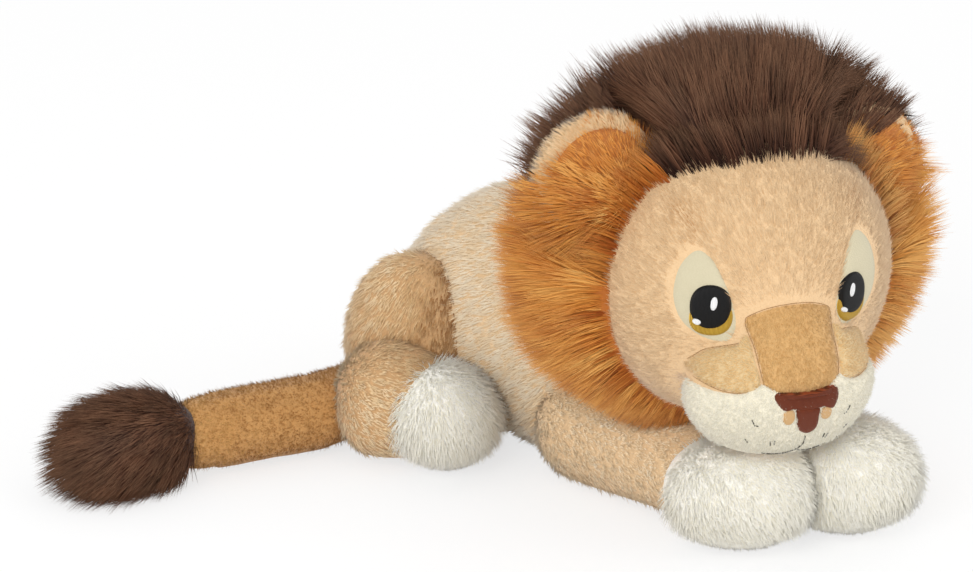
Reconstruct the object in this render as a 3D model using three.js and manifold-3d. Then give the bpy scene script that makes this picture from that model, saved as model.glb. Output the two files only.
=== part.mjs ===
// A stuffed lion that lies on its belly with its chin on its front paws.
// Millimetres. +Z is up, the face looks along -Y and the lion's left is +X.
// The origin is on the floor, under the flat of the belly.
// Every skin is a shell with its own filling inside. Skins swell and taper, and where the real
// seams bend, a limb's round root turns in a matching cup of the torso.
import * as THREE from "three";
import { mergeVertices } from "three/addons/utils/BufferGeometryUtils.js";
import Module from "manifold-3d";

const wasm = await Module();
wasm.setup();

// Cloth and fit
const clearance = 0.3; // gap between pieces that touch, turn or are sewn together
const plushWall = 2.6; // backing cloth with its short pile
const patchThickness = 1.2; // smooth cloth sewn over the face
const stitchThickness = 0.8; // satin stitch raised on the cloth
const overrun = 40; // how far a cutting shape runs past what it cuts

// Torso, bent to the lion's right behind the shoulders
const neckX = -4;
const neckY = -36;
const torsoLength = 116; // along Y, neck to rump
const hipsSway = 92; // how far the rump lies to the right of the neck
const torsoWidth = 84;
const torsoHeight = 110; // floor to the top of the back
const bellySag = 6; // depth of belly that the floor presses flat
const torsoRoundShare = 0.24;
const slumpShare = 0.2; // how much wider the body lies near the floor

// Neck
const neckRadius = 27;
const neckBallY = -26;
const neckBallZ = 68;
const throatRadius = 12; // opening that the fillings of head and torso share
const nodUp = 20; // degrees that the head lifts off the paws

// Skull
const skullWidth = 118;
const skullDepth = 92;
const skullHeight = 116;
const skullY = -66;
const skullZ = 101;

// Snout, placed from the skull's front and centre
const snoutWidth = 75;
const snoutDepth = 44;
const snoutHeight = 50;
const snoutInset = 8; // how far the snout's middle lies behind the skull's front
const snoutDrop = 31;
const bridgeWidth = 40;
const bridgeDepth = 34;
const bridgeHeight = 58;
const bridgeInset = 10;
const bridgeDrop = 16;
const bridgeTilt = 20; // degrees that the bridge leans back towards the brow

// Panels sewn over the snout, placed from the skull's centre
const bridgePanelWidth = 34;
const bridgePanelHeight = 32;
const bridgePanelDrop = 14;
const cheekPanelWidth = 22;
const cheekPanelHeight = 26;
const cheekPanelSpread = 25;
const cheekPanelDrop = 19;
const muzzleWidth = 73;
const muzzleHeight = 36;
const muzzleDrop = 41;
const muzzleReach = 24; // how far back from its front the white cloth reaches
const noseWidth = 27;
const noseHeight = 20;
const noseDrop = 37;
const noseThickness = 2.4;

// Eyes, placed from the skull's centre
const eyeSpread = 28;
const eyeRise = 1;
const eyeWidth = 14.5;
const eyeHeight = 17.5;
const irisHeight = 13;
const irisDrop = 4.2;
const eyePatchSpread = 29;
const eyePatchWidth = 25;
const eyePatchHeight = 37;
const eyePatchRise = 4;

// Mane, a thick ring of long pile round the skull
const maneWidth = 178;
const maneDepth = 92;
const maneHeight = 168;
const maneBack = 17; // ring's middle behind the skull's
const maneRise = 4;
const hairlineRise = 40; // front edge of the brown pile above the skull's middle
const sideManeFront = -10; // front edge of the orange pile, from the skull's middle
const sideManeBack = 30; // where the orange pile meets the brown
const sideManeInner = 26;
const sideManeDrop = 50;

// Ears
const earWidth = 52;
const earHeight = 50;
const earThickness = 13;
const earRim = 5;
const earOut = 56;
const earUp = 40;
const earBack = 6;
const earLean = 50; // degrees that each ear leans out from upright
const earFold = 20;

// Front legs
const legRadius = 22.5;
const wristRadius = 19;
const shoulderSpread = 32;
const shoulderX = 0;
const shoulderY = -14;
const frontPawSpread = 21; // from the plane where the two paws press together
const frontPawX = 13;
const frontPawY = -92;
const frontPawWidth = 60;
const frontPawLength = 60;
const frontPawHeight = 46;
const frontSplay = 20;

// Hips, turned from the chest
const hipTurn = 55;
const hipX = -70;
const hipY = 70;
const haunchSpread = 25;
const haunchLength = 64; // along the hips
const haunchThickness = 47;
const haunchHeight = 90;
const haunchHem = 22; // height at which the haunch's cloth is sewn round the leg
const hipRoll = 8; // how much lower the left haunch lies

// Hind legs
const hindRootSpread = 36;
const hindRootBack = 4;
const hindRadius = 26;
const hindPawSpread = 51;
const hindPawForward = 16;
const hindPawDiameter = 45;
const hindSplay = 20;

// Tail, a tube that curls round the right haunch and then runs straight
const tailRootX = -90;
const tailRootY = 83;
const tailRootRadius = 11;
const tailRadius = 16.5;
const tailBendX = -119;
const tailBendY = 56;
const tailEndX = -184;
const tailEndY = 47;
const tailSwing = 50;
const tuftLength = 66;
const tuftWidth = 48;
const tuftHeight = 44;
const tuftTurn = 12; // degrees that the tuft hangs towards the front

// Bag of pellets that weights the belly
const pelletBagWidth = 44;
const pelletBagLength = 48;
const pelletBagHeight = 24;
const pelletBagX = -34;
const pelletBagY = 38;

const floorPressed = 1; // depth that the floor presses off paws, tail and haunches
const passageRadius = 9; // opening between a leg and its paw
const tailRoundShare = 0.12;
const cupShare = 1.055; // size of a cup against the round root that turns in it
const tuftOverlap = 6; // how far the tuft's pile covers the tail
const earWindowMargin = 1.5; // short pile left free round each ear

// Colours of the cloth
const tan = 0xdebe96;
const thighTan = 0xc9a074;
const brown = 0x553a32;
const orange = 0xcd8741;
const cream = 0xf3f0de;
const white = 0xf2f0e4;
const bridgeTan = 0xd7af78;
const snoutTan = 0xe1c391;
const black = 0x15120f;
const gold = 0xbe9628;
const rust = 0x78371f;
const fibre = 0xf5f5f2;
const pelletCloth = 0xd8d4c8;

// Facets
const torsoSides = 16;
const torsoSteps = 11;
const tailSteps = 9;
const legSides = 10;
const headAround = 20;
const headDown = 10;
const snoutAround = 14;
const snoutDown = 7;
const pawAround = 12;
const pawDown = 6;
const eyeFacets = 14;
const sweepStop = 10; // degrees between the stops that a turning piece's room is joined from
const capSteps = 3;
const passageSides = 6;

// Turns a closed geometry into a solid that can be joined and cut.
function solid(geometry) {
  const bare = geometry.clone();
  bare.deleteAttribute("normal");
  bare.deleteAttribute("uv");
  const merged = mergeVertices(bare);
  return new wasm.Manifold(
    new wasm.Mesh({
      numProp: 3,
      vertProperties: new Float32Array(merged.attributes.position.array),
      triVerts: new Uint32Array(merged.index.array),
    }),
  );
}

// Turns a solid back into a geometry with flat facets.
function geometryOf(shape) {
  const mesh = shape.getMesh();
  const geometry = new THREE.BufferGeometry();
  geometry.setAttribute("position", new THREE.BufferAttribute(mesh.vertProperties, mesh.numProp));
  geometry.setIndex(new THREE.BufferAttribute(mesh.triVerts, 1));
  const flat = geometry.toNonIndexed();
  flat.computeVertexNormals();
  return flat;
}

function cut(shape, ...cutters) {
  return cutters.reduce((left, cutter) => left.subtract(cutter), shape);
}

function join(shape, ...others) {
  return others.reduce((whole, other) => whole.add(other), shape);
}

function common(shape, ...others) {
  return others.reduce((shared, other) => shared.intersect(other), shape);
}

// Copy of a solid turned about an axis through a point, by degrees.
function turned(shape, pivot, axis, degrees) {
  const matrix = new THREE.Matrix4().makeTranslation(pivot);
  matrix.multiply(new THREE.Matrix4().makeRotationAxis(axis, THREE.MathUtils.degToRad(degrees)));
  matrix.multiply(new THREE.Matrix4().makeTranslation(pivot.clone().negate()));
  return solid(geometryOf(shape).applyMatrix4(matrix));
}

// Places that a solid takes up at rest and at even stops up to the given angle.
function swept(shape, pivot, axis, degrees) {
  const count = Math.ceil(Math.abs(degrees) / sweepStop);
  const stops = Array.from({ length: count }, (_, i) => (degrees * (i + 1)) / count);
  return join(shape, ...stops.map((angle) => turned(shape, pivot, axis, angle)));
}

// Ellipsoid with full sizes along X, Y and Z, its skin moved out by a growth.
function egg(centre, width, depth, height, growth, around, down) {
  const ball = new THREE.SphereGeometry(1, around, down);
  ball.rotateX(Math.PI / 2);
  ball.scale(width / 2 + growth, depth / 2 + growth, height / 2 + growth);
  ball.translate(centre.x, centre.y, centre.z);
  return solid(ball);
}

function sphere(centre, radius, growth, around = pawAround, down = pawDown) {
  return egg(centre, 2 * radius, 2 * radius, 2 * radius, growth, around, down);
}

// Stuffed form along a row of stations, each with its place, half width and half height.
// Both ends are rounded over a share of the length, and a growth moves the skin out. A slump
// spreads the lower half sideways, as a soft body does under its own weight.
function stuffed(stations, sides, steps, roundShare, growth, slump = 0) {
  const route = new THREE.CatmullRomCurve3(stations.map((s) => s.place));
  const girth = new THREE.CatmullRomCurve3(
    stations.map((s) => new THREE.Vector3(s.wide, s.tall, 0)),
  );
  const points = [];
  for (let i = 0; i <= steps; i++) {
    const along = 0.5 - 0.5 * Math.cos((Math.PI * i) / steps);
    const tangent = route.getTangent(along);
    const place = route.getPoint(along).addScaledVector(tangent, (2 * along - 1) * growth);
    if (i === 0 || i === steps) {
      points.push(place);
      continue;
    }
    const nearEnd = Math.min(1, along / roundShare, (1 - along) / roundShare);
    const cap = Math.sqrt(1 - (1 - nearEnd) ** 2);
    const size = girth.getPoint(along);
    const across = new THREE.Vector3(tangent.y, -tangent.x, 0).normalize();
    const up = new THREE.Vector3().crossVectors(across, tangent).normalize();
    for (let j = 0; j < sides; j++) {
      const turn = (2 * Math.PI * j) / sides;
      const spread = 1 + slump * Math.max(0, -Math.sin(turn));
      const point = place.clone();
      point.addScaledVector(across, (size.x + growth) * cap * spread * Math.cos(turn));
      point.addScaledVector(up, (size.y + growth) * cap * Math.sin(turn));
      points.push(point);
    }
  }
  return solid(closedRings(points, sides, steps));
}

// Joins a pole, rings of points and a second pole into one closed skin.
function closedRings(points, sides, steps) {
  const index = [];
  const last = points.length - 1;
  const lastRing = 1 + (steps - 2) * sides;
  for (let j = 0; j < sides; j++) {
    const next = (j + 1) % sides;
    index.push(0, 1 + j, 1 + next);
    index.push(last, lastRing + next, lastRing + j);
    for (let i = 0; i < steps - 2; i++) {
      const low = 1 + i * sides;
      const high = low + sides;
      index.push(low + j, high + j, high + next);
      index.push(low + j, high + next, low + next);
    }
  }
  const skin = new THREE.BufferGeometry().setFromPoints(points);
  skin.setIndex(index);
  return skin;
}

// Straight rod between two points, for the openings that fillings pass through.
function rod(from, to, radius) {
  const way = to.clone().sub(from);
  const bar = new THREE.CylinderGeometry(radius, radius, way.length(), passageSides);
  bar.applyQuaternion(
    new THREE.Quaternion().setFromUnitVectors(new THREE.Vector3(0, 1, 0), way.clone().normalize()),
  );
  const middle = from.clone().lerp(to, 0.5);
  bar.translate(middle.x, middle.y, middle.z);
  return solid(bar);
}

// Block from a height upwards, which trims what the floor presses flat.
function above(height) {
  const side = 10 * torsoLength;
  const block = new THREE.BoxGeometry(side, side, side);
  block.translate(0, 0, height + side / 2);
  return solid(block);
}

// Straight cutter along Y between two depths, with its outline drawn in front view.
function prism(outline, fromY, toY) {
  const geometry = new THREE.ExtrudeGeometry(new THREE.Shape(outline), {
    depth: toY - fromY,
    bevelEnabled: false,
  });
  geometry.rotateX(Math.PI / 2);
  geometry.translate(0, toY, 0);
  return solid(geometry);
}

// Front-view points from shares of a width and a height about a middle on the face.
function outlineOf(shares, x, z, width, height) {
  return shares.map(([acrossShare, upShare]) =>
    new THREE.Vector2(x + acrossShare * width, skullZ + z + upShare * height));
}

// Smooth closed outline through front-view points.
function roundOutline(points, divisions) {
  const ring = points.map((p) => new THREE.Vector3(p.x, p.y, 0));
  const curve = new THREE.CatmullRomCurve3(ring, true);
  return curve.getPoints(divisions).slice(0, -1).map((p) => new THREE.Vector2(p.x, p.y));
}

// Block on one side of an upright plane, against which the two front paws press.
function halfSpace(side, x, gap) {
  const width = 10 * torsoLength;
  const block = new THREE.BoxGeometry(width, width, width);
  block.translate(x + side * (gap + width / 2), 0, 0);
  return solid(block);
}

function rectangle(x0, z0, x1, z1) {
  const low = new THREE.Vector2(Math.min(x0, x1), z0);
  const high = new THREE.Vector2(Math.max(x0, x1), z1);
  return [low, new THREE.Vector2(high.x, low.y), high, new THREE.Vector2(low.x, high.y)];
}

const lion = new THREE.Group();

function addPiece(name, shape, colour) {
  const material = new THREE.MeshStandardMaterial({ color: colour, roughness: 0.95, metalness: 0 });
  const mesh = new THREE.Mesh(geometryOf(shape), material);
  mesh.name = name;
  lion.add(mesh);
}

const upAxis = new THREE.Vector3(0, 0, 1);
const nodAxis = new THREE.Vector3(-1, 0, 0);
const bothSides = [
  { name: "left", side: 1 },
  { name: "right", side: -1 },
];

// Shares of the torso's length, sway, width and height, from the neck to the rump
const torsoShares = [
  [0.0, 0.0, 0.66, 0.84],
  [0.22, 0.05, 0.96, 0.95],
  [0.46, 0.17, 1.0, 1.0],
  [0.7, 0.42, 0.94, 0.95],
  [0.88, 0.7, 0.84, 0.7],
  [1.0, 1.0, 0.72, 0.54],
];

function torsoForm(growth) {
  const stations = torsoShares.map(([along, sway, wide, tall]) => {
    const half = (tall * torsoHeight + bellySag) / 2;
    const x = neckX - sway * hipsSway;
    const y = neckY + along * torsoLength;
    return { place: new THREE.Vector3(x, y, half - bellySag), wide: (wide * torsoWidth) / 2, tall: half };
  });
  return stuffed(stations, torsoSides, torsoSteps, torsoRoundShare, growth, slumpShare);
}

// Hips' own directions and the places measured from them
const hipAngle = THREE.MathUtils.degToRad(hipTurn);
const hipForward = new THREE.Vector3(Math.sin(hipAngle), -Math.cos(hipAngle), 0);
const hipLeft = new THREE.Vector3(Math.cos(hipAngle), Math.sin(hipAngle), 0);

function fromHips(side, spread, forward, z) {
  const place = new THREE.Vector3(hipX, hipY, z);
  return place.addScaledVector(hipLeft, side * spread).addScaledVector(hipForward, forward);
}

// Neck ball, on which the head nods
const neckBall = new THREE.Vector3(neckX, neckBallY, neckBallZ);

function neckForm(growth) {
  return sphere(neckBall, neckRadius, growth, snoutAround, snoutDown);
}

const throatEnd = new THREE.Vector3(neckX, neckBallY - 2 * neckRadius, neckBallZ + neckRadius);
const throatForm = (growth) => rod(neckBall, throatEnd, throatRadius + growth);

// Legs: a tapered tube from a round root, and a paw sewn to its end
function frontLeg(side) {
  const rootX = shoulderX + side * shoulderSpread;
  const pawX = frontPawX + side * frontPawSpread;
  const paw = new THREE.Vector3(pawX, frontPawY, frontPawHeight / 2 - floorPressed);
  return {
    root: new THREE.Vector3(rootX, shoulderY, legRadius - floorPressed),
    paw,
    pawForm: (growth) =>
      egg(paw, frontPawWidth, frontPawLength, frontPawHeight, growth, pawAround, pawDown),
    pawSide: (growth) => halfSpace(side, frontPawX, clearance / 2 - growth),
    rootRadius: legRadius,
    endRadius: wristRadius,
    splay: side * frontSplay,
  };
}

function hindLeg(side) {
  const paw = fromHips(side, hindPawSpread, hindPawForward, hindPawDiameter / 2 - floorPressed);
  return {
    root: fromHips(side, hindRootSpread, -hindRootBack, hindRadius - floorPressed),
    paw,
    pawForm: (growth) => sphere(paw, hindPawDiameter / 2, growth),
    pawSide: (growth) => above(-growth),
    rootRadius: hindRadius,
    endRadius: hindPawDiameter / 2 - plushWall,
    splay: side * hindSplay,
  };
}

const legs = [];
for (const { name, side } of bothSides) {
  legs.push({ name: "front_" + name, place: "front", sideName: name, colour: tan, ...frontLeg(side) });
  legs.push({ name: "hind_" + name, place: "hind", sideName: name, colour: thighTan, ...hindLeg(side) });
}

// Tapered tube of a leg with a half ball for its root. With a swing it spreads into the flat fan
// that the tube sweeps from rest.
function legForm(leg, growth, swing) {
  const half = THREE.MathUtils.degToRad(swing / 2);
  const way = leg.paw.clone().sub(leg.root).applyAxisAngle(upAxis, half);
  const reach = way.length();
  const across = new THREE.Vector3().crossVectors(way, upAxis).normalize();
  const up = new THREE.Vector3().crossVectors(across, way).normalize();
  way.normalize();
  const radius = leg.rootRadius + growth;
  const cap = Array.from({ length: capSteps }, (_, i) => (Math.PI * (i + 1)) / (2 * capSteps));
  const rings = cap.map((turn) => ({ along: -radius * Math.cos(turn), wide: radius * Math.sin(turn) }));
  rings.push({ along: reach, wide: leg.endRadius + growth });
  const points = [leg.root.clone().addScaledVector(way, -radius)];
  for (const { along, wide } of rings) {
    const spread = Math.max(0, along) * Math.tan(Math.abs(half));
    for (let j = 0; j < legSides; j++) {
      const turn = (2 * Math.PI * j) / legSides;
      const sideways = (wide / Math.cos(half)) * Math.cos(turn) + Math.sign(Math.cos(turn)) * spread;
      const point = leg.root.clone().addScaledVector(way, along).addScaledVector(across, sideways);
      points.push(point.addScaledVector(up, wide * Math.sin(turn)));
    }
  }
  points.push(leg.root.clone().addScaledVector(way, reach));
  return solid(closedRings(points, legSides, rings.length + 1));
}

// Cup in which a round root turns
function cupForm(centre, radius, growth) {
  return sphere(centre, cupShare * radius, growth, snoutAround, snoutDown);
}

// Room of a leg: a cup round its root, the fan of its tube, and its paw at both ends of the swing
function legRoom(leg, growth) {
  const paw = leg.pawForm(growth);
  const cup = cupForm(leg.root, leg.rootRadius, growth);
  return join(cup, legForm(leg, growth, leg.splay), paw, turned(paw, leg.root, upAxis, leg.splay));
}

// Tail: a tube that leaves the rump, bends round the haunch and runs straight to the tuft
const tailRoot = new THREE.Vector3(tailRootX, tailRootY, tailRadius);
const tailBend = new THREE.Vector3(tailBendX, tailBendY, tailRadius);
const tailEnd = new THREE.Vector3(tailEndX, tailEndY, tailRadius);

function tailForm(growth) {
  const start = tailRoot.clone().lerp(tailBend, -tailRootRadius / tailRoot.distanceTo(tailBend));
  const full = { wide: tailRadius, tall: tailRadius };
  const stations = [
    { place: start, wide: tailRootRadius, tall: tailRootRadius },
    { place: tailBend, ...full },
    { place: tailBend.clone().lerp(tailEnd, 0.5), ...full },
    { place: tailEnd, ...full },
  ];
  return stuffed(stations, legSides, tailSteps, tailRoundShare, growth);
}

// Room of the tail: a cup round its root, and the tail at both ends of its swing
function tailRoom(growth) {
  const tail = tailForm(growth);
  const swung = turned(tail, tailRoot, upAxis, -tailSwing);
  return join(cupForm(tailRoot, tailRootRadius, growth), tail, swung);
}

// Torso skin, its fibre and a bag of pellets. The filling is the skin's form moved inwards, and
// both give room to every limb through its whole swing.
function torsoPiece(growth) {
  const room = clearance - growth;
  const rooms = [tailRoom(room), ...legs.map((leg) => legRoom(leg, room))];
  const trunk = join(torsoForm(growth), neckForm(growth));
  return common(cut(trunk, ...rooms), above(-growth));
}

const inside = -plushWall;
const filling = -plushWall - clearance;
const torsoSkin = torsoPiece(0);
addPiece("torso_shell", cut(torsoSkin, torsoPiece(inside), throatForm(0)), tan);

const bagCentre = new THREE.Vector3(pelletBagX, pelletBagY, pelletBagHeight / 2);
const bagForm = (growth) =>
  egg(bagCentre, pelletBagWidth, pelletBagLength, pelletBagHeight, growth, pawAround, pawDown);
const torsoFilling = torsoPiece(filling);
addPiece("belly_pellet_bag", common(bagForm(0), torsoFilling), pelletCloth);
addPiece("torso_fill", cut(torsoFilling, bagForm(clearance)), fibre);

// Haunches: upright pads sewn on both sides of the hips, each hollowed over its leg
function haunchForm(side) {
  const height = side > 0 ? haunchHeight - hipRoll : haunchHeight;
  const pad = new THREE.SphereGeometry(1, snoutAround, snoutDown);
  pad.rotateX(Math.PI / 2);
  pad.scale(haunchLength / 2, haunchThickness / 2, height / 2);
  pad.rotateZ(hipAngle - Math.PI / 2);
  const middle = fromHips(side, haunchSpread, 0, height / 2 - floorPressed);
  pad.translate(middle.x, middle.y, middle.z);
  return solid(pad);
}

const torsoRoom = join(torsoForm(clearance), neckForm(clearance));

const limbRooms = [tailRoom(clearance), ...legs.map((leg) => legRoom(leg, clearance))];
for (const { name, side } of bothSides) {
  const pad = cut(haunchForm(side), torsoRoom, ...limbRooms);
  addPiece("haunch_" + name, common(pad, above(haunchHem)), thighTan);
}

// Legs, each a tube and a paw with one filling through both
for (const leg of legs) {
  const tube = (growth) => {
    return common(cut(legForm(leg, growth, 0), leg.pawForm(clearance - growth)), above(-growth));
  };
  const paw = (growth) => common(leg.pawForm(growth), leg.pawSide(growth), above(-growth));
  const way = leg.paw.clone().sub(leg.root).normalize();
  const start = leg.root.clone().addScaledVector(way, -passageRadius);
  const passage = (growth) => rod(start, leg.paw, passageRadius + growth);
  addPiece(leg.place + "_leg_" + leg.sideName, cut(tube(0), tube(inside), passage(0)), leg.colour);
  addPiece(leg.place + "_paw_" + leg.sideName, cut(paw(0), paw(inside), passage(0)), white);
  const fill = join(tube(filling), paw(filling), passage(-clearance));
  addPiece(leg.place + "_leg_fill_" + leg.sideName, fill, fibre);
}

// Tail with its filling, pressed in by the hind leg beside it, and the tuft round its end
function tailPiece(growth) {
  const pressing = legs.map((leg) => cupForm(leg.root, leg.rootRadius, clearance - growth));
  return common(cut(tailForm(growth), ...pressing), above(-growth));
}

const tailWay = tailEnd.clone().sub(tailBend).normalize();
const mouthReach = tailWay.clone().multiplyScalar(tailRadius);
const tailMouth = rod(tailEnd.clone().sub(mouthReach), tailEnd.clone().add(mouthReach), passageRadius);
addPiece("tail", cut(tailPiece(0), tailPiece(inside), tailMouth), tan);
addPiece("tail_fill", tailPiece(filling), fibre);

const tuft = new THREE.SphereGeometry(1, snoutAround, snoutDown);
tuft.rotateZ(Math.PI / 2);
tuft.scale(tuftLength / 2, tuftWidth / 2, tuftHeight / 2);
tuft.rotateZ(Math.atan2(tailWay.y, tailWay.x) + THREE.MathUtils.degToRad(tuftTurn));
const tuftMiddle = tailEnd.clone().addScaledVector(tailWay, tuftLength / 2 - tuftOverlap);
tuft.translate(tuftMiddle.x, tuftMiddle.y, tuftHeight / 2 - floorPressed);
addPiece("tail_tuft", common(cut(solid(tuft), tailForm(clearance)), above(0)), brown);

// Head skin: skull and snout in one form
const skullCentre = new THREE.Vector3(0, skullY, skullZ);
const snoutForward = skullDepth / 2 - snoutInset;
const bridgeForward = skullDepth / 2 - bridgeInset;

function fromSkull(x, y, z) {
  return new THREE.Vector3(x, y, z).add(skullCentre);
}

function bridgeForm(growth) {
  const ball = new THREE.SphereGeometry(1, pawAround, pawDown);
  ball.rotateX(Math.PI / 2);
  ball.scale(bridgeWidth / 2 + growth, bridgeDepth / 2 + growth, bridgeHeight / 2 + growth);
  ball.rotateX(THREE.MathUtils.degToRad(-bridgeTilt));
  const middle = fromSkull(0, -bridgeForward, -bridgeDrop);
  ball.translate(middle.x, middle.y, middle.z);
  return solid(ball);
}

function headForm(growth) {
  const skull = egg(skullCentre, skullWidth, skullDepth, skullHeight, growth, headAround, headDown);
  const snoutCentre = fromSkull(0, -snoutForward, -snoutDrop);
  return join(
    skull,
    egg(snoutCentre, snoutWidth, snoutDepth, snoutHeight, growth, snoutAround, snoutDown),
    bridgeForm(growth),
  );
}

// The torso as the nodding head meets it, from rest to the end of the nod
function torsoNodRoom(growth) {
  return join(swept(torsoForm(growth), neckBall, nodAxis, -nodUp), cupForm(neckBall, neckRadius, growth));
}

const headPiece = (growth) => cut(headForm(growth), torsoNodRoom(clearance - growth));
addPiece("head_shell", cut(headPiece(0), headPiece(inside), throatForm(0)), tan);
addPiece("head_fill", headPiece(filling), fibre);

// Ears: a tan back that wraps round an orange lining, folding on the skull
const headRoom = headForm(clearance);
const nodRoom = torsoNodRoom(clearance);

function earForm(side, trim, forward, growth) {
  const disc = new THREE.SphereGeometry(1, pawAround, pawDown);
  disc.rotateX(Math.PI / 2);
  disc.scale(earWidth / 2 - trim + growth, earThickness / 2 + growth, earHeight / 2 - trim + growth);
  disc.rotateY(THREE.MathUtils.degToRad(side * earLean));
  const middle = fromSkull(side * earOut, earBack - forward, earUp);
  disc.translate(middle.x, middle.y, middle.z);
  return solid(disc);
}

const earWindows = [];
for (const { name, side } of bothSides) {
  const out = new THREE.Vector3(side * earOut, 0, earUp).normalize();
  const hinge = fromSkull(out.x * skullWidth / 2, earBack, out.z * skullWidth / 2);
  const foldAxis = new THREE.Vector3(out.z, 0, -out.x);
  const room = swept(headRoom, hinge, foldAxis, -earFold);
  const whole = cut(earForm(side, 0, 0, 0), room);
  const liningForm = (growth) => earForm(side, earRim, earThickness / 4, growth);
  addPiece("ear_back_" + name, cut(whole, liningForm(clearance)), tan);
  addPiece("ear_lining_" + name, cut(liningForm(0), room), orange);
  const windowRadius = earWidth / 2 + earWindowMargin;
  const tube = new THREE.CylinderGeometry(windowRadius, windowRadius, 2 * overrun, pawAround);
  tube.translate(side * earOut, skullY + earBack + earThickness / 2 - overrun, skullZ + earUp);
  earWindows.push(join(earForm(side, 0, 0, clearance + earWindowMargin), solid(tube)));
}

// Mane: brown over the crown and down the back, orange down both sides
const maneCentre = fromSkull(0, maneBack, maneRise);
const mane = cut(
  egg(maneCentre, maneWidth, maneDepth, maneHeight, 0, headAround, headDown),
  headRoom, nodRoom, ...earWindows,
);

function sideRegion(side, margin) {
  const inner = side * (sideManeInner - margin);
  const outer = side * (maneWidth / 2 + overrun);
  const low = skullZ - sideManeDrop - margin;
  const high = skullZ + hairlineRise + margin;
  return prism(
    rectangle(inner, low, outer, high), skullY - skullDepth, skullY + sideManeBack + margin,
  );
}

function slab(fromY, toY, low, high) {
  return prism(rectangle(-maneWidth, low, maneWidth, high), fromY, toY);
}

const beforeSides = slab(skullY - skullDepth, skullY + sideManeFront, 0, skullZ + hairlineRise);
for (const { name, side } of bothSides) {
  addPiece("side_mane_" + name, cut(common(mane, sideRegion(side, 0)), beforeSides), orange);
}
const belowCrown = slab(skullY - skullDepth, skullY + maneDepth, 0, skullZ - sideManeDrop);
const beforeCrown = slab(skullY - skullDepth, skullY + sideManeBack, 0, skullZ + hairlineRise);
const sideRooms = bothSides.map(({ side }) => sideRegion(side, clearance));
addPiece("mane_crown", cut(mane, belowCrown, beforeCrown, ...sideRooms), brown);

// Face: cloth panels sewn on the head, with satin stitch over them
const patchTop = clearance + patchThickness;
const patchLayer = cut(headForm(patchTop), headRoom);
const stitchLayer = cut(
  headForm(patchTop + clearance + stitchThickness), headForm(patchTop + clearance),
);
const noseLayer = cut(headForm(patchTop + clearance + noseThickness), headForm(patchTop + clearance));

function faceCutter(outline, reach) {
  const front = skullY - skullDepth;
  return prism(outline, front, skullY - reach);
}

// Shares of a width and a height about the middle of each panel, seen on the lion's left
const eyePatchShares = [
  [0.49, 0.07], [0.36, 0.35], [0.09, 0.5], [-0.18, 0.34], [-0.41, 0.04],
  [-0.48, -0.25], [-0.23, -0.45], [0.11, -0.5], [0.38, -0.29],
];
const bridgeShares = [
  [-0.5, 0.24], [-0.3, 0.45], [0, 0.5], [0.3, 0.45], [0.5, 0.24],
  [0.43, -0.2], [0.4, -0.5], [-0.4, -0.5], [-0.43, -0.2],
];
const cheekShares = [[-0.5, 0.42], [-0.5, -0.5], [0.5, -0.5], [0.42, 0.1]];
const muzzleShares = [
  [-0.5, 0.16], [-0.38, 0.34], [-0.24, 0.46], [-0.15, 0.3], [0.15, 0.3],
  [0.24, 0.46], [0.38, 0.34], [0.5, 0.16], [0.5, -0.5], [-0.5, -0.5],
];
const noseShares = [
  [-0.44, 0.5], [0.44, 0.5], [0.5, 0.34], [0.44, 0.06], [0.2, -0.04],
  [0.16, -0.4], [0, -0.5], [-0.16, -0.4], [-0.2, -0.04], [-0.44, 0.06], [-0.5, 0.34],
];

const mirrored = (shares, side) => shares.map(([across, up]) => [side * across, up]);

function eyePatchCutter(side, margin) {
  const outline = outlineOf(
    mirrored(eyePatchShares, side), side * eyePatchSpread, eyePatchRise,
    eyePatchWidth + 2 * margin, eyePatchHeight + 2 * margin,
  );
  return faceCutter(roundOutline(outline, eyeFacets), 0);
}

function bridgeCutter(margin) {
  const outline = outlineOf(
    bridgeShares, 0, -bridgePanelDrop, bridgePanelWidth + 2 * margin, bridgePanelHeight + 2 * margin,
  );
  return faceCutter(outline, 0);
}

function muzzleCutter(margin) {
  const outline = outlineOf(
    muzzleShares, 0, -muzzleDrop, muzzleWidth + 2 * margin, muzzleHeight + 2 * margin,
  );
  return faceCutter(outline, muzzleReach - margin);
}

function ovalCutter(x, z, width, height) {
  const oval = new THREE.EllipseCurve(x, skullZ + z, width / 2, height / 2);
  return faceCutter(oval.getPoints(eyeFacets).slice(0, -1), 0);
}

addPiece("muzzle_bridge", common(patchLayer, bridgeCutter(0)), bridgeTan);
addPiece("muzzle", cut(common(patchLayer, muzzleCutter(0)), bridgeCutter(clearance)), white);
const noseOutline = outlineOf(noseShares, 0, -noseDrop, noseWidth, noseHeight);
addPiece("nose", common(noseLayer, faceCutter(noseOutline, 0)), rust);

for (const { name, side } of bothSides) {
  const eyeX = side * eyeSpread;
  const pupil = (margin) => ovalCutter(eyeX, eyeRise, eyeWidth + 2 * margin, eyeHeight + 2 * margin);
  const iris = ovalCutter(eyeX, eyeRise - irisDrop, eyeWidth, irisHeight);
  const cheek = faceCutter(
    outlineOf(
      mirrored(cheekShares, side), side * cheekPanelSpread, -cheekPanelDrop,
      cheekPanelWidth, cheekPanelHeight,
    ),
    0,
  );
  const cheekRooms = [bridgeCutter(clearance), muzzleCutter(clearance), eyePatchCutter(side, clearance)];
  const eyePatch = common(patchLayer, eyePatchCutter(side, 0));
  addPiece("eye_patch_" + name, cut(eyePatch, bridgeCutter(clearance)), cream);
  addPiece("pupil_" + name, common(stitchLayer, pupil(0)), black);
  addPiece("iris_" + name, cut(common(stitchLayer, iris), pupil(clearance)), gold);
  addPiece("cheek_panel_" + name, cut(common(patchLayer, cheek), ...cheekRooms), snoutTan);
}

export default lion;
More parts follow.
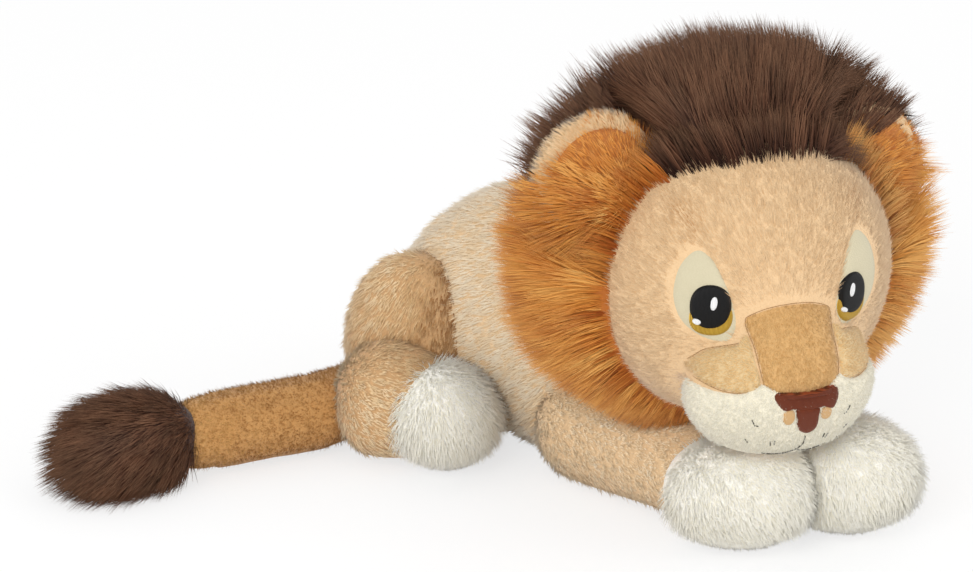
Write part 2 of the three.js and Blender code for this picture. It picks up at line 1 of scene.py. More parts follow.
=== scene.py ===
"""A stuffed lion lying on its belly: pile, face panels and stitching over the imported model.

Points are worked out in millimetres and become metres when a mesh is made. +Z is up, the face
looks along -Y and the lion's left is +X.
"""

import math

import bpy
import numpy as np
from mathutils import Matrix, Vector


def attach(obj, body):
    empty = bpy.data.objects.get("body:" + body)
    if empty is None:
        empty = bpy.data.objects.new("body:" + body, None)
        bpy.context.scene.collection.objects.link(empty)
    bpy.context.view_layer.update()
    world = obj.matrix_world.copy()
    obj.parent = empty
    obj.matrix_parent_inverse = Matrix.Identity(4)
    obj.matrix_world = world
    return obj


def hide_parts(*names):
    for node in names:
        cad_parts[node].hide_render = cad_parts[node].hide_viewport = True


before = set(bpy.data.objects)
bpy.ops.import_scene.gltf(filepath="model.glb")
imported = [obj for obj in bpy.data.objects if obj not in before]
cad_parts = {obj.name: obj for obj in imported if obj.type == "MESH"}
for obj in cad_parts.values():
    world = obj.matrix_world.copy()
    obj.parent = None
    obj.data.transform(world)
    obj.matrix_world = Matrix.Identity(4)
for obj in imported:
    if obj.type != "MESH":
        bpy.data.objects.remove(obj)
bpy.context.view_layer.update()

# --- Camera -----------------------------------------------------------------------------------
# A long lens, a little above the lion and to the right of its face. The picture is 973 pixels
# wide and shows 2.6 of them to a millimetre at the lion.
PICTURE_WIDTH = 973
FOCAL_PIXELS = 5200
DISTANCE = 2.0
SENSOR_WIDTH_MM = 36
azimuth, elevation = math.radians(-21), math.radians(20)
aim = Vector((-0.0706, 0.0143, 0.0749))
towards_camera = Vector((
    math.sin(azimuth) * math.cos(elevation),
    -math.cos(azimuth) * math.cos(elevation),
    math.sin(elevation),
))
lens = bpy.data.cameras.new("long lens")
lens.sensor_width = SENSOR_WIDTH_MM
lens.lens = SENSOR_WIDTH_MM * FOCAL_PIXELS / PICTURE_WIDTH
lens.clip_end = 10 * DISTANCE
camera = bpy.data.objects.new("camera", lens)
camera.location = aim + DISTANCE * towards_camera
camera.rotation_euler = (-towards_camera).to_track_quat("-Z", "Y").to_euler()
bpy.context.scene.collection.objects.link(camera)
bpy.context.scene.camera = camera
bpy.context.scene.view_settings.view_transform = "Standard"


# --- Shader maths -----------------------------------------------------------------------------
# Each finish is built from nodes. A Wire is one output on which Python's own signs work, and a
# Finish is one material with its cloth shader.
class Wire:
    """An output socket. Adding, subtracting, multiplying or raising it adds one Math node."""

    def __init__(self, finish, socket):
        self.finish = finish
        self.socket = socket

    def maths(self, operation, first, second):
        return self.finish.node("ShaderNodeMath", {"operation": operation}, {0: first, 1: second})

    def __add__(self, other):
        return self.maths("ADD", self, other)

    def __sub__(self, other):
        return self.maths("SUBTRACT", self, other)

    def __mul__(self, other):
        return self.maths("MULTIPLY", self, other)

    def __pow__(self, other):
        return self.maths("POWER", self, other)


def linear(red, green, blue):
    """An sRGB colour of 0 to 255 as the light values that Blender's sockets take."""
    shares = np.array([red, green, blue]) / 255
    light = np.where(shares <= 0.04045, shares / 12.92, ((shares + 0.055) / 1.055) ** 2.4)
    return (*light.tolist(), 1.0)


class Finish:
    """A material with one Principled shader and the nodes that feed it."""

    def __init__(self, name, roughness=0.9, sheen=0.0):
        self.material = bpy.data.materials.new(name)
        self.material.use_nodes = True
        self.nodes = self.material.node_tree.nodes
        self.links = self.material.node_tree.links
        self.shader = self.nodes["Principled BSDF"]
        self.shader.inputs["Roughness"].default_value = roughness
        self.shader.inputs["Sheen Weight"].default_value = sheen
        self.shader.inputs["Sheen Roughness"].default_value = 0.5
        self.shader.inputs["Specular IOR Level"].default_value = 0.15

    def node(self, kind, settings, sockets, output=0):
        """Adds a node, sets it, then fills its sockets with values or links. Returns an output."""
        node = self.nodes.new(kind)
        for key, value in settings.items():
            if key == "stops":
                ramp = node.color_ramp
                while len(ramp.elements) < len(value):
                    ramp.elements.new(0.5)
                for element, (place, colour) in zip(ramp.elements, value):
                    element.position = place
                    element.color = colour
            else:
                setattr(node, key, value)
        for key, value in sockets.items():
            if isinstance(value, Wire):
                self.links.new(value.socket, node.inputs[key])
            else:
                node.inputs[key].default_value = value
        return Wire(self, node.outputs[output])

    def feed(self, **sockets):
        """Links wires to the shader's sockets, whose names have spaces for underscores."""
        for key, wire in sockets.items():
            self.links.new(wire.socket, self.shader.inputs[key.replace("_", " ")])
        return self

    def place(self):
        return self.node("ShaderNodeTexCoord", {}, {}, "Object")

    def noise(self, scale, detail=2.0, stretch=(1, 1, 1)):
        """Soft noise of so many cells to a metre, 0 to 1, drawn out along an axis by a stretch."""
        where = self.node("ShaderNodeMapping", {}, {"Vector": self.place(), "Scale": stretch})
        return self.node(
            "ShaderNodeTexNoise", {}, {"Vector": where, "Scale": scale, "Detail": detail}, "Fac"
        )

    def blend(self, share, first, second, how="MIX"):
        """Mixes two colours by a share, each a wire or a fixed colour."""
        return self.node(
            "ShaderNodeMix", {"data_type": "RGBA", "blend_type": how},
            {0: share, 6: first, 7: second}, 2,
        )

    def ramp(self, share, stops):
        return self.node("ShaderNodeValToRGB", {"stops": stops}, {0: share}, "Color")

    def waves(self, bands, scale, **waver):
        """Even bands across X, Y or Z, so many to a metre times 20 over 2 pi, with a waver."""
        return self.node(
            "ShaderNodeTexWave", {"bands_direction": bands, "wave_profile": "SIN"},
            {"Vector": self.place(), "Scale": scale, **waver}, "Fac",
        )

    def relief(self, height, depth_mm):
        """A Bump node: light and shade of a height that spans so many millimetres."""
        return self.node(
            "ShaderNodeBump", {},
            {"Strength": 1.0, "Distance": depth_mm / 1000, "Height": height}, "Normal",
        )


# --- Studio -----------------------------------------------------------------------------------
# A white floor, a soft key lamp high on the left, a weaker one on the right and an even white
# surround. The floor shows itself nearly white to the camera and keeps the lion's shadow.
FLOOR_HALF = 9000
SURROUND_STRENGTH = 0.88
PAPER_GLOW = 0.72


def lamp(name, place, size, power):
    """A square lamp in metres and watts that faces the point the camera is aimed at."""
    light = bpy.data.lights.new(name, "AREA")
    light.size = size
    light.energy = power
    holder = bpy.data.objects.new(name, light)
    holder.location = place
    holder.rotation_euler = (Vector(place) - aim).to_track_quat("Z", "Y").to_euler()
    bpy.context.scene.collection.objects.link(holder)


lamp("key lamp", (-1.35, -1.6, 1.15), 1.2, 26)
lamp("fill lamp", (1.2, -1.5, 0.7), 1.4, 10)

world = bpy.data.worlds.new("studio")
world.use_nodes = True
bpy.context.scene.world = world
surround = world.node_tree.nodes["Background"]
surround.inputs["Color"].default_value = (1, 1, 1, 1)
seen = world.node_tree.nodes.new("ShaderNodeLightPath")
strength = world.node_tree.nodes.new("ShaderNodeMapRange")
strength.inputs["To Min"].default_value = SURROUND_STRENGTH
strength.inputs["To Max"].default_value = 1.0
world.node_tree.links.new(seen.outputs["Is Camera Ray"], strength.inputs["Value"])
world.node_tree.links.new(strength.outputs["Result"], surround.inputs["Strength"])


def put(name, points, *faces):
    """Makes an object at the origin from points in millimetres and arrays of faces.

    The signed volume of the closed skin, a third of the sum over its corners of place times
    turned area, says whether the faces point outwards. If it is below nothing they are turned.
    """
    fans = [f[:, [0, k, k + 1]] for f in faces for k in range(1, f.shape[1] - 1)]
    triangles = np.concatenate(fans)
    a, b, c = (points[triangles[:, k]] for k in range(3))
    if (a * np.cross(b, c)).sum() < 0:
        faces = [f[:, ::-1] for f in faces]
    sizes = np.concatenate([np.full(len(f), f.shape[1]) for f in faces])
    corners = np.concatenate([f.ravel() for f in faces])
    mesh = bpy.data.meshes.new(name)
    mesh.vertices.add(len(points))
    mesh.vertices.foreach_set("co", (points / 1000).astype(np.float32).ravel())
    mesh.loops.add(len(corners))
    mesh.loops.foreach_set("vertex_index", corners.astype(np.int32))
    mesh.polygons.add(len(sizes))
    starts = np.concatenate([[0], np.cumsum(sizes)[:-1]])
    mesh.polygons.foreach_set("loop_start", starts.astype(np.int32))
    mesh.update(calc_edges=True)
    mesh.validate()
    mesh.polygons.foreach_set("use_smooth", np.full(len(sizes), True))
    piece = bpy.data.objects.new(name, mesh)
    bpy.context.scene.collection.objects.link(piece)
    return piece


floor_corners = FLOOR_HALF * np.array([[-1.0, -1, 0], [1, -1, 0], [1, 1, 0], [-1, 1, 0]])
floor = put("floor", floor_corners, np.array([[0, 1, 2, 3]]))
paper = Finish("white paper", roughness=1.0)
paper.shader.inputs["Base Color"].default_value = linear(248, 248, 248)
path = paper.nodes.new("ShaderNodeLightPath")
glow = paper.node("ShaderNodeEmission", {}, {"Color": (1, 1, 1, 1), "Strength": 1.0})
shown = Wire(paper, path.outputs["Is Camera Ray"]) * PAPER_GLOW
lit_paper = paper.node("ShaderNodeMixShader", {}, {0: shown})
paper.links.new(paper.shader.outputs[0], lit_paper.socket.node.inputs[1])
paper.links.new(glow.socket, lit_paper.socket.node.inputs[2])
paper.links.new(lit_paper.socket, paper.nodes["Material Output"].inputs["Surface"])
floor.data.materials.append(paper.material)

# --- Fillings ---------------------------------------------------------------------------------
# Loose white polyester fibre fills every skin, and a woven bag of pellets lies low in the belly.
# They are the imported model's own nodes with their real finish.
fibre = Finish("loose fibre", roughness=0.95, sheen=0.3)
tufts = fibre.noise(180, 4.0)
strands = fibre.noise(900, 2.0, (1, 1, 0.25))
fibre.feed(
    Base_Color=fibre.blend(tufts, linear(226, 224, 216), linear(250, 250, 247)),
    Normal=fibre.relief(tufts * 0.7 + strands * 0.3, 2.0),
)
weave = Finish("pellet bag cotton", roughness=0.9)
warp, weft = weave.waves("X", 260.0), weave.waves("Y", 260.0)
weave.feed(
    Base_Color=weave.blend(warp * weft, linear(190, 184, 168), linear(226, 222, 208)),
    Normal=weave.relief(warp + weft, 0.25),
)
for name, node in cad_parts.items():
    if "fill" in name or name == "belly_pellet_bag":
        finish = weave if name == "belly_pellet_bag" else fibre
        node.data.materials.clear()
        node.data.materials.append(finish.material)

# --- Torso ------------------------------------------------------------------------------------
# A tube of short tan plush from the neck to the rump, bent to the lion's right, stuffed until
# it swells. The skin is a loft, plumped by cloth simulation, and the pile is rooted on it.
FLOOR_CLEAR = 0.4
CLOTH_THICKNESS = 2.5
FRAMES_TO_FILL = 20


def cubic(rows, i, t):
    """The curve between rows i + 1 and i + 2 at share t, sloped by the rows on both sides."""
    p0, p1, p2, p3 = (rows[i + k] for k in range(4))
    return p1 + 0.5 * t * (p2 - p0 + t * (2 * p0 - 5 * p1 + 4 * p2 - p3 + t * (3 * (p1 - p2) + p3 - p0)))


def eased(stations, along):
    """A smooth line through stations, a cubic between each two whose slope at a station is half
    the step between its neighbours. Stations are rows, and along runs from 0 to 1 over them."""
    stations = np.asarray(stations, float)
    padded = np.vstack([2 * stations[0] - stations[1], stations, 2 * stations[-1] - stations[-2]])
    last = len(stations) - 1
    spot = np.clip(np.asarray(along) * last, 0, last - 1e-9)
    i = spot.astype(int)
    return cubic(padded, i, (spot - i)[..., None])


def loft(stations, round_share, slump=0.0, shrink=0.0, sides=48, steps=40, round_start=None):
    """Rings round a line of stations, each row x, y, z, half width, half height.

    A ring's point is the middle plus half width times cosine sideways plus half height times
    sine upwards. Both ends round off as a quarter circle over a share of the length, and a
    slump widens the lower half.
    """
    turn = np.linspace(0, np.pi, steps + 2)[1:-1]
    along = 0.5 - 0.5 * np.cos(turn)
    rows = eased(stations, along)
    after, before = np.minimum(along + 0.01, 1), np.maximum(along - 0.01, 0)
    ahead = eased(stations, after) - eased(stations, before)
    way = ahead[:, :3] / np.linalg.norm(ahead[:, :3], axis=1, keepdims=True)
    across = np.stack([way[:, 1], -way[:, 0], 0 * way[:, 0]], 1)
    across /= np.linalg.norm(across, axis=1, keepdims=True)
    up = np.cross(across, way)
    start = round_share if round_start is None else round_start
    near_end = np.minimum(1, np.minimum(along / start, (1 - along) / round_share))
    cap = np.sqrt(1 - (1 - near_end) ** 2)[:, None]
    around = np.linspace(0, 2 * np.pi, sides, endpoint=False)[None]
    low = 1 + slump * np.maximum(0, -np.sin(around))
    wide = (rows[:, 3:4] - shrink) * cap * low * np.cos(around)
    tall = (rows[:, 4:5] - shrink) * cap * np.sin(around)
    return rows[:, None, :3] + wide[..., None] * across[:, None] + tall[..., None] * up[:, None]


def closed(name, rings):
    """A closed skin over rings of points, with a pole at the middle of each end ring."""
    steps, sides = rings.shape[:2]
    points = np.concatenate([rings[0].mean(0)[None], rings.reshape(-1, 3), rings[-1].mean(0)[None]])
    grid = 1 + np.arange(steps * sides).reshape(steps, sides)
    beside = np.roll(grid, -1, axis=1)
    quads = np.stack([grid[:-1], beside[:-1], beside[1:], grid[1:]], -1).reshape(-1, 4)
    first = np.stack([0 * grid[0], beside[0], grid[0]], -1)
    last = np.stack([0 * grid[0] + len(points) - 1, grid[-1], beside[-1]], -1)
    return put(name, points, quads, first, last)


def settle(piece, *kinds):
    """Applies modifiers, each a type and its settings, and keeps the result as the mesh."""
    for kind, settings in kinds:
        modifier = piece.modifiers.new(kind, kind)
        for key, value in settings.items():
            setattr(modifier, key, value)
    shaped = piece.evaluated_get(bpy.context.evaluated_depsgraph_get())
    mesh = bpy.data.meshes.new_from_object(shaped)
    piece.modifiers.clear()
    piece.data = mesh
    mesh.polygons.foreach_set("use_smooth", np.ones(len(mesh.polygons), bool))


def places(piece):
    """All points of a mesh in millimetres."""
    values = np.empty(3 * len(piece.data.vertices), np.float32)
    piece.data.vertices.foreach_get("co", values)
    return values.reshape(-1, 3).astype(float) * 1000


def move(piece, points):
    piece.data.vertices.foreach_set("co", (points / 1000).astype(np.float32).ravel())
    piece.data.update()


def cover(piece, filling):
    """Lifts what lies in a filling, or nearer than 1.4 mm to it, out to that height. What rests
    on the floor stays."""
    before = places(piece)
    settle(piece, ("SHRINKWRAP", {
        "target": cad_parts[filling], "wrap_method": "NEAREST_SURFACEPOINT",
        "wrap_mode": "OUTSIDE", "offset": 0.0014,
    }), ("SMOOTH", {"factor": 0.5, "iterations": 1}))
    move(piece, np.where(before[:, 2:] < CLOTH_THICKNESS, before, places(piece)))


def plump(piece, cap, filling=None):
    """Fills a closed skin with pressure as cloth, and lets no point move further than the cap.

    A move m is shortened to m times cap over its length. The floor stays flat: no point goes
    below it.
    """
    settle(piece, ("REMESH", {"mode": "VOXEL", "voxel_size": 0.005}))
    before = places(piece)
    cloth = piece.modifiers.new("filling", "CLOTH")
    cloth.settings.quality = 4
    cloth.settings.use_pressure = True
    cloth.settings.uniform_pressure_force = 4.0
    cloth.settings.effector_weights.gravity = 0
    for step in range(FRAMES_TO_FILL):
        bpy.context.scene.frame_set(1 + step)
    settle(piece)
    swollen = places(piece)
    bpy.context.scene.frame_set(1)
    reach = swollen - before
    length = np.linalg.norm(reach, axis=1, keepdims=True)
    after = before + reach * np.minimum(1, cap / np.maximum(length, 1e-6))
    after[:, 2] = np.maximum(after[:, 2], FLOOR_CLEAR)
    move(piece, after)
    settle(piece, ("SMOOTH", {"factor": 0.5, "iterations": 4}),
           ("SUBSURF", {"levels": 1, "render_levels": 1}))
    if filling:
        cover(piece, filling)


def dress(piece, finish, body, slot, *nodes, fill=None):
    """Gives a piece its finish and body, and hides the nodes that it stands for. The slot is not used."""
    piece.data.materials.clear()
    piece.data.materials.append(finish.material)
    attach(piece, body)
    if nodes:
        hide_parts(*nodes)
    return piece


def backing(name, dark, light):
    """The knitted ground of a plush: a soft mottle and a grain of 0.9 mm between the strands. The
    colours it is given are mostly a little darker than the pile's: painted shade under the strands.
    """
    finish = Finish(name, roughness=0.95, sheen=0.2)
    mottle = finish.noise(70, 3.0)
    grain = finish.noise(1000 / 0.9, 2.0)
    finish.feed(
        Base_Color=finish.blend(mottle * 0.5 + grain * 0.5, linear(*dark), linear(*light)),
        Normal=finish.relief(grain, 0.5),
    )
    return finish


# From the neck to the rump, as shares: way back, bend to the right, half width and height
shares = np.array([
    [0.0, 0.0, 0.66, 0.84], [0.22, 0.05, 0.96, 0.95], [0.46, 0.17, 1.0, 1.0],
    [0.7, 0.42, 0.94, 0.96], [0.88, 0.7, 0.84, 0.61], [1.0, 1.0, 0.72, 0.46],
])
neck = np.array([-4, -36])
bend_aside, torso_length, torso_half_width, back_height = 92, 116, 42, 110
floor_sink = 6  # depth by which the belly would reach below the floor that flattens it
half_height = (shares[:, 3] * back_height + floor_sink) / 2
torso_stations = np.stack([
    neck[0] - shares[:, 1] * bend_aside, neck[1] + shares[:, 0] * torso_length,
    half_height - floor_sink, shares[:, 2] * torso_half_width, half_height,
], 1)
tan_ground = backing("tan plush ground", (196, 160, 118), (226, 196, 156))
torso = closed("torso_skin", loft(torso_stations, 0.24, slump=0.42, shrink=3.5))
plump(torso, 3.0, "torso_fill")
dress(torso, tan_ground, "trunk", "tan_plush", "torso_shell", fill=0.85)

# --- Strands ----------------------------------------------------------------------------------
# How pile is made. Each strand is a tapered spike with three sides, rooted on a skin and combed
# along it, and its colour comes from a shade number of its own.
SHADE_HALF_WIDTH = 0.003
SHADE_FOOT = 0.01
SHADE_HEIGHT = 0.06


class Ground:
    """Points, triangles and normals of a finished skin, as arrays in millimetres."""

    def __init__(self, *pieces):
        points, triangles, normals = [], [], []
        for piece in pieces:
            mesh = piece.data
            mesh.calc_loop_triangles()
            corner = np.empty(3 * len(mesh.loop_triangles), np.int32)
            mesh.loop_triangles.foreach_get("vertices", corner)
            normal = np.empty(3 * len(mesh.vertices), np.float32)
            mesh.vertices.foreach_get("normal", normal)
            triangles.append(corner.reshape(-1, 3) + sum(len(p) for p in points))
            points.append(places(piece))
            normals.append(normal.reshape(-1, 3).astype(float))
        self.points = np.concatenate(points)
        self.triangles = np.concatenate(triangles)
        self.normals = np.concatenate(normals)

    def roots(self, per_square_mm, rng):
        """Random points, as many to each square millimetre, with the skin's normal there."""
        a, b, c = (self.points[self.triangles[:, k]] for k in range(3))
        area = np.linalg.norm(np.cross(b - a, c - a), axis=1) / 2
        chosen = rng.choice(len(area), int(area.sum() * per_square_mm), p=area / area.sum())
        u, v = rng.random((2, len(chosen), 1))
        u, v = np.where(u + v > 1, 1 - u, u), np.where(u + v > 1, 1 - v, v)
        corners = self.triangles[chosen]
        roots = a[chosen] * (1 - u - v) + b[chosen] * u + c[chosen] * v
        n = self.normals
        normals = n[corners[:, 0]] * (1 - u - v) + n[corners[:, 1]] * u + n[corners[:, 2]] * v
        return roots, unit(normals)

    def height(self, points):
        """How far points lie outside the skin, along the normal of its nearest corner. A skin of
        many corners is thinned out to about 2500 of them."""
        thin = slice(None, None, max(1, len(self.points) // 2500))
        sparse, normals = self.points[thin], self.normals[thin]
        spot = nearest(points, sparse)
        return ((points - sparse[spot]) * normals[spot]).sum(1)


def nearest(points, marks):
    """The number of the mark nearest to each point, 4000 points at a time."""
    return np.concatenate([
        ((marks**2).sum(1) - 2 * part @ marks.T).argmin(1)
        for part in np.array_split(points, max(1, len(points) // 4000))
    ])


def unit(vectors):
    return vectors / np.maximum(np.linalg.norm(vectors, axis=-1, keepdims=True), 1e-9)


def combed(roots, normals, flow, rise, stray, rng):
    """Ways that strands point: the flow laid flat on the skin, plus a rise along the normal and
    a random stray. All three are shares of the same length."""
    flat = unit(flow - (flow * normals).sum(1, keepdims=True) * normals)
    return unit(flat + rise * normals + stray * rng.normal(size=roots.shape))


def clumped(roots, size, rng):
    """Shares the strands out in clumps of about so many: each takes the nearest of some heads.
    Returns each strand's head as a strand's number."""
    heads = rng.choice(len(roots), max(1, len(roots) // size), replace=False)
    return heads[nearest(roots, roots[heads])]


def pile(name, finish, body, slot, roots, normals, ways, lengths, widths, shades, heads, pull,
         bend=0.0, joints=1):
    """Strands as closed spikes of three sides, flat below and ridged above, with a ring at each
    joint and a sharp tip.

    A strand's middle at share t is its root plus length times (way times t plus bend times t
    squared), where the bend points up. Its radius falls as 1 - t to the power 0.6. Strands of
    one clump lean towards its head's tip by the pull times t squared. The map OFBake holds the
    shade across and t upwards.
    """
    bend = np.array([0, 0, bend])
    lengths, widths = lengths[:, None], widths[:, None]
    tips = roots + lengths * (ways + bend)
    lean = pull * (tips[heads] - tips)
    side = unit(np.cross(ways, normals + 0.01))
    other = np.cross(ways, side)
    spots = np.arange(joints) / joints
    rings = []
    for t in spots:
        middle = roots + lengths * (ways * t + bend * t * t) + lean * t * t
        radius = widths / 2 * (1 - t) ** 0.6
        for across, outwards in ((0, 0.75), (1, -0.25), (-1, -0.25)):
            rings.append(middle + radius * (across * side - outwards * other))
    rings.append(tips + lean)
    points = np.stack(rings, 1)
    points[..., 2] = np.maximum(points[..., 2], 0.1)
    # One strand's faces with the share across and along of each corner in the map
    faces, marks = [[0, 2, 1]], [[(0, 0.03), (-1, 0.0), (1, 0.0)]]
    across = (0, 1, -1)
    for k in range(joints):
        low, high = spots[k], (k + 1) / joints
        for j in range(3):
            i = (j + 1) % 3
            a, b, c, d = 3 * k + j, 3 * k + i, 3 * (k + 1) + j, 3 * (k + 1) + i
            if k == joints - 1:
                faces.append([a, b, 3 * joints])
                marks.append([(across[j], low), (across[i], low), (0, 1.0)])
            else:
                faces += [[a, b, d], [a, d, c]]
                marks += [
                    [(across[j], low), (across[i], low), (across[i], high)],
                    [(across[j], low), (across[i], high), (across[j], high)],
                ]
    faces, marks = np.array(faces), np.array(marks, float)
    stride = points.shape[1]
    triangles = (faces[None] + stride * np.arange(len(roots))[:, None, None]).reshape(-1, 3)
    shades = np.clip(shades, 0.02, 0.98)
    spread = shades[:, None, None] + SHADE_HALF_WIDTH * marks[None, ..., 0]
    climb = np.broadcast_to(SHADE_FOOT + SHADE_HEIGHT * marks[None, ..., 1], spread.shape)
    piece = put(name, points.reshape(-1, 3), triangles)
    baked = piece.data.uv_layers.new(name="OFBake")
    baked.uv.foreach_set("vector", np.stack([spread, climb], -1).astype(np.float32).ravel())
    soft = unit(np.repeat(0.8 * normals + 0.35 * ways, stride, axis=0))
    piece.data.normals_split_custom_set_from_vertices(soft)
    return dress(piece, finish, body, slot)


def pile_finish(name, palette, root, tip, roughness=0.75, sheen=0.15):
    """A strand's colour: a palette across the shades, times the root's colour near the root, which is
    painted shade among the strands, and turned towards the tip's colour, by its fourth value,
    over the last third."""
    finish = Finish(name, roughness=roughness, sheen=sheen)
    where = finish.node("ShaderNodeUVMap", {"uv_map": "OFBake"}, {})
    split = finish.node("ShaderNodeSeparateXYZ", {}, {0: where})
    shade = Wire(finish, split.socket.node.outputs["X"])
    along = (Wire(finish, split.socket.node.outputs["Y"]) - SHADE_FOOT) * (1 / SHADE_HEIGHT)
    stops = [(k / (len(palette) - 1), linear(*c)) for k, c in enumerate(palette)]
    colour = finish.ramp(shade, stops)
    # Painted shade among the roots: the root's colour at the base, fading to white by 0.55 of the length.
    painted_root_shade = finish.ramp(along, [(0.0, linear(*root)), (0.55, linear(255, 255, 255))])
    colour = finish.blend(1.0, colour, painted_root_shade, "MULTIPLY")
    colour = finish.blend(along ** 3 * tip[3], colour, linear(*tip[:3]))
    return finish.feed(Base_Color=colour)


# --- Haunches ---------------------------------------------------------------------------------
# Two pads of darker tan plush sewn upright on the hips over the hind legs, the left one lying a
# little lower. Each is an egg plumped by simulation.
hip_middle = np.array([-70, 70, 0])
hip_angle = math.radians(55)
hip_forward = np.array([math.sin(hip_angle), -math.cos(hip_angle), 0])
hip_left = np.array([math.cos(hip_angle), math.sin(hip_angle), 0])


def from_hips(side, spread, forward, z):
    """A point so far out to a side of the hips, forward of them and above the floor."""
    return hip_middle + np.array([0, 0, z]) + side * spread * hip_left + forward * hip_forward


def sphere_ways(down, around):
    """Ways from a middle, by the angle down from the top and the angle around."""
    return np.stack([
        np.sin(down) * np.cos(around), np.sin(down) * np.sin(around), np.cos(down) + 0 * around,
    ], -1)


def ball(name, middle, sizes, turn=0.0, sides=40, steps=24, power=2.0):
    """An egg of half sizes along X, Y and Z, turned about Z. With a power above 2 it gets boxier:
    the radius is one over the power root of the summed powers of its direction's parts."""
    down = np.linspace(0, np.pi, steps + 2)[1:-1, None]
    around = np.linspace(0, 2 * np.pi, sides, endpoint=False)[None]
    way = sphere_ways(down, around)
    swell = (np.abs(way) ** power).sum(-1, keepdims=True) ** (-1 / power)
    x, y, z = np.moveaxis(way * swell * np.asarray(sizes, float), -1, 0)
    c, s = math.cos(turn), math.sin(turn)
    rings = np.stack([c * x - s * y, s * x + c * y, z], -1) + np.asarray(middle, float)
    rings[..., 2] = np.maximum(rings[..., 2], FLOOR_CLEAR)
    return closed(name, rings)


thigh_ground = backing("thigh plush ground", (172, 130, 86), (208, 170, 126))
haunches = {}
for name, side, forward, height in (("left", 1, 4, 75), ("right", -1, -1.5, 81)):
    middle = from_hips(side, 25, forward, height / 2)
    haunch = ball("haunch_skin_" + name, middle, (30.0, 19.0, height / 2 - 1), hip_angle - math.pi / 2)
    plump(haunch, 2.0)
    haunches[name] = dress(haunch, thigh_ground, "trunk", "thigh_plush", "haunch_" + name, fill=0.8)

# --- Hind legs and paws -----------------------------------------------------------------------
# Stubby tubes that end in round white paws of soft, longer pile. The right one's sole faces
# forwards.
white_ground = backing("white plush ground", (240, 236, 224), (252, 250, 244))


def leg_skin(name, root, paw, root_radius, slump=0.0):
    """A tube from a half ball at its root to a radius of 19 at the middle of its paw, drawn 1.6
    under size because it is plumped afterwards."""
    way, end_radius, shrink = unit(paw - root), 19, 1.6
    spots = np.array([root - way * (root_radius - shrink), root, (root + paw) / 2, paw, paw + way * 6])
    middle_radius = (root_radius + end_radius) / 2
    radius = np.array([root_radius, root_radius, middle_radius, end_radius, end_radius])[:, None]
    stations = np.hstack([spots, radius, radius])
    piece = closed(name, loft(stations, 0.1, slump, shrink, sides=32, steps=28, round_start=0.25))
    plump(piece, 2.0)
    return piece


legs = {}  # root, middle of the paw, skin of the leg and skin of the paw
for name, side, spread, root_radius in (("left", 1, 39, 27.5), ("right", -1, 43, 26.5)):
    paw_middle = from_hips(side, 51, 16, 21.5)
    root = from_hips(side, spread, -5, 25)
    leg = leg_skin("hind_leg_skin_" + name, root, paw_middle, root_radius, slump=0.3)
    dress(leg, thigh_ground, "hind_leg_" + name, "thigh_plush", "hind_leg_" + name, fill=0.8)
    paw = ball("hind_paw_skin_" + name, paw_middle + np.array([-0.5, 0.5, 0.5]), (21.5, 21.5, 20.5))
    cover(paw, "hind_leg_fill_" + name)
    dress(paw, white_ground, "hind_leg_" + name, "white_plush", "hind_paw_" + name, fill=0.8)
    legs["hind_" + name] = (root, paw_middle, leg, paw)

# --- Front legs and paws ----------------------------------------------------------------------
# Tan tubes that run forwards under the chin to two large white paws, pressed together.
between_paws = 13
for name, side, half_width in (("left", 1, 25.5), ("right", -1, 28.5)):
    root = np.array([side * 34, -11, 22])
    paw_middle = np.array([between_paws + side * 21, -92, 22])
    leg = leg_skin("front_leg_skin_" + name, root, paw_middle, 26)
    dress(leg, tan_ground, "front_leg_" + name, "tan_plush", "front_leg_" + name, fill=0.8)
    middle = paw_middle + np.array([side * (half_width - 27), 1.5, -0.5])
    paw = ball("front_paw_skin_" + name, middle, (half_width, 25.0, 20.5), power=2.2)
    # Pressed flat where the two meet, 1.2 to each side
    spots = places(paw)
    inner = side * (spots[:, 0] - between_paws)
    pressed = np.where(inner < 3, 1.2 + 1.8 / (1 + np.exp(-(inner - 1.5))), inner)
    spots[:, 0] = between_paws + side * pressed
    # Two dents part three toes in front
    ahead = np.clip((-104 - spots[:, 1]) / 8, 0, 1) * np.clip((34 - spots[:, 2]) / 12, 0, 1)
    for toe in (-8, 8):
        spots[:, 1] += 3.0 * ahead * np.exp(-((spots[:, 0] - paw_middle[0] - toe) / 2.6) ** 2)
    move(paw, spots)
    cover(paw, "front_leg_fill_" + name)
    dress(paw, white_ground, "front_leg_" + name, "white_plush", "front_paw_" + name, fill=0.8)
    legs["front_" + name] = (root, paw_middle, leg, paw)

# --- Tail -------------------------------------------------------------------------------------
# A tan tube that leaves the rump, bends round the right haunch and runs straight out along the
# floor, browner towards its root.
tail_root = np.array([-90, 83, 16.5])
tail_bend = np.array([-119, 56, 16.5])
tail_end = np.array([-184, 47, 16.5])
tail_start = tail_root + unit(tail_root - tail_bend) * 11
tail_way = unit(tail_end - tail_bend)
in_tuft = tail_end + 9 * tail_way
tail_stations = np.array([
    [*tail_start, 11, 11], [*tail_bend, 16.5, 16.5],
    [*((tail_bend + tail_end) / 2), 16.5, 16.5], [*in_tuft, 16.5, 16.5],
])
tail = closed("tail_skin", loft(tail_stations, 0.1, shrink=2.0, sides=32, steps=40))
plump(tail, 1.5, "tail_fill")
golden_ground = backing("golden plush ground", (168, 118, 64), (204, 158, 102))
dress(tail, golden_ground, "tail", "tan_plush", "tail", fill=0.8)

# The tuft's core hides the tail's end
tuft_turn = math.atan2(tail_way[1], tail_way[0]) + math.radians(5)
tuft_middle = tail_end + tail_way * 18.5
tuft_middle[2] = 18
tuft_core = ball("tuft_core", tuft_middle, (23, 17, 16.5), turn=tuft_turn, power=2.6)
brown_ground = backing("brown pile ground", (44, 28, 24), (82, 56, 48))
dress(tuft_core, brown_ground, "tail", "brown_pile", "tail_tuft", fill=0.5)

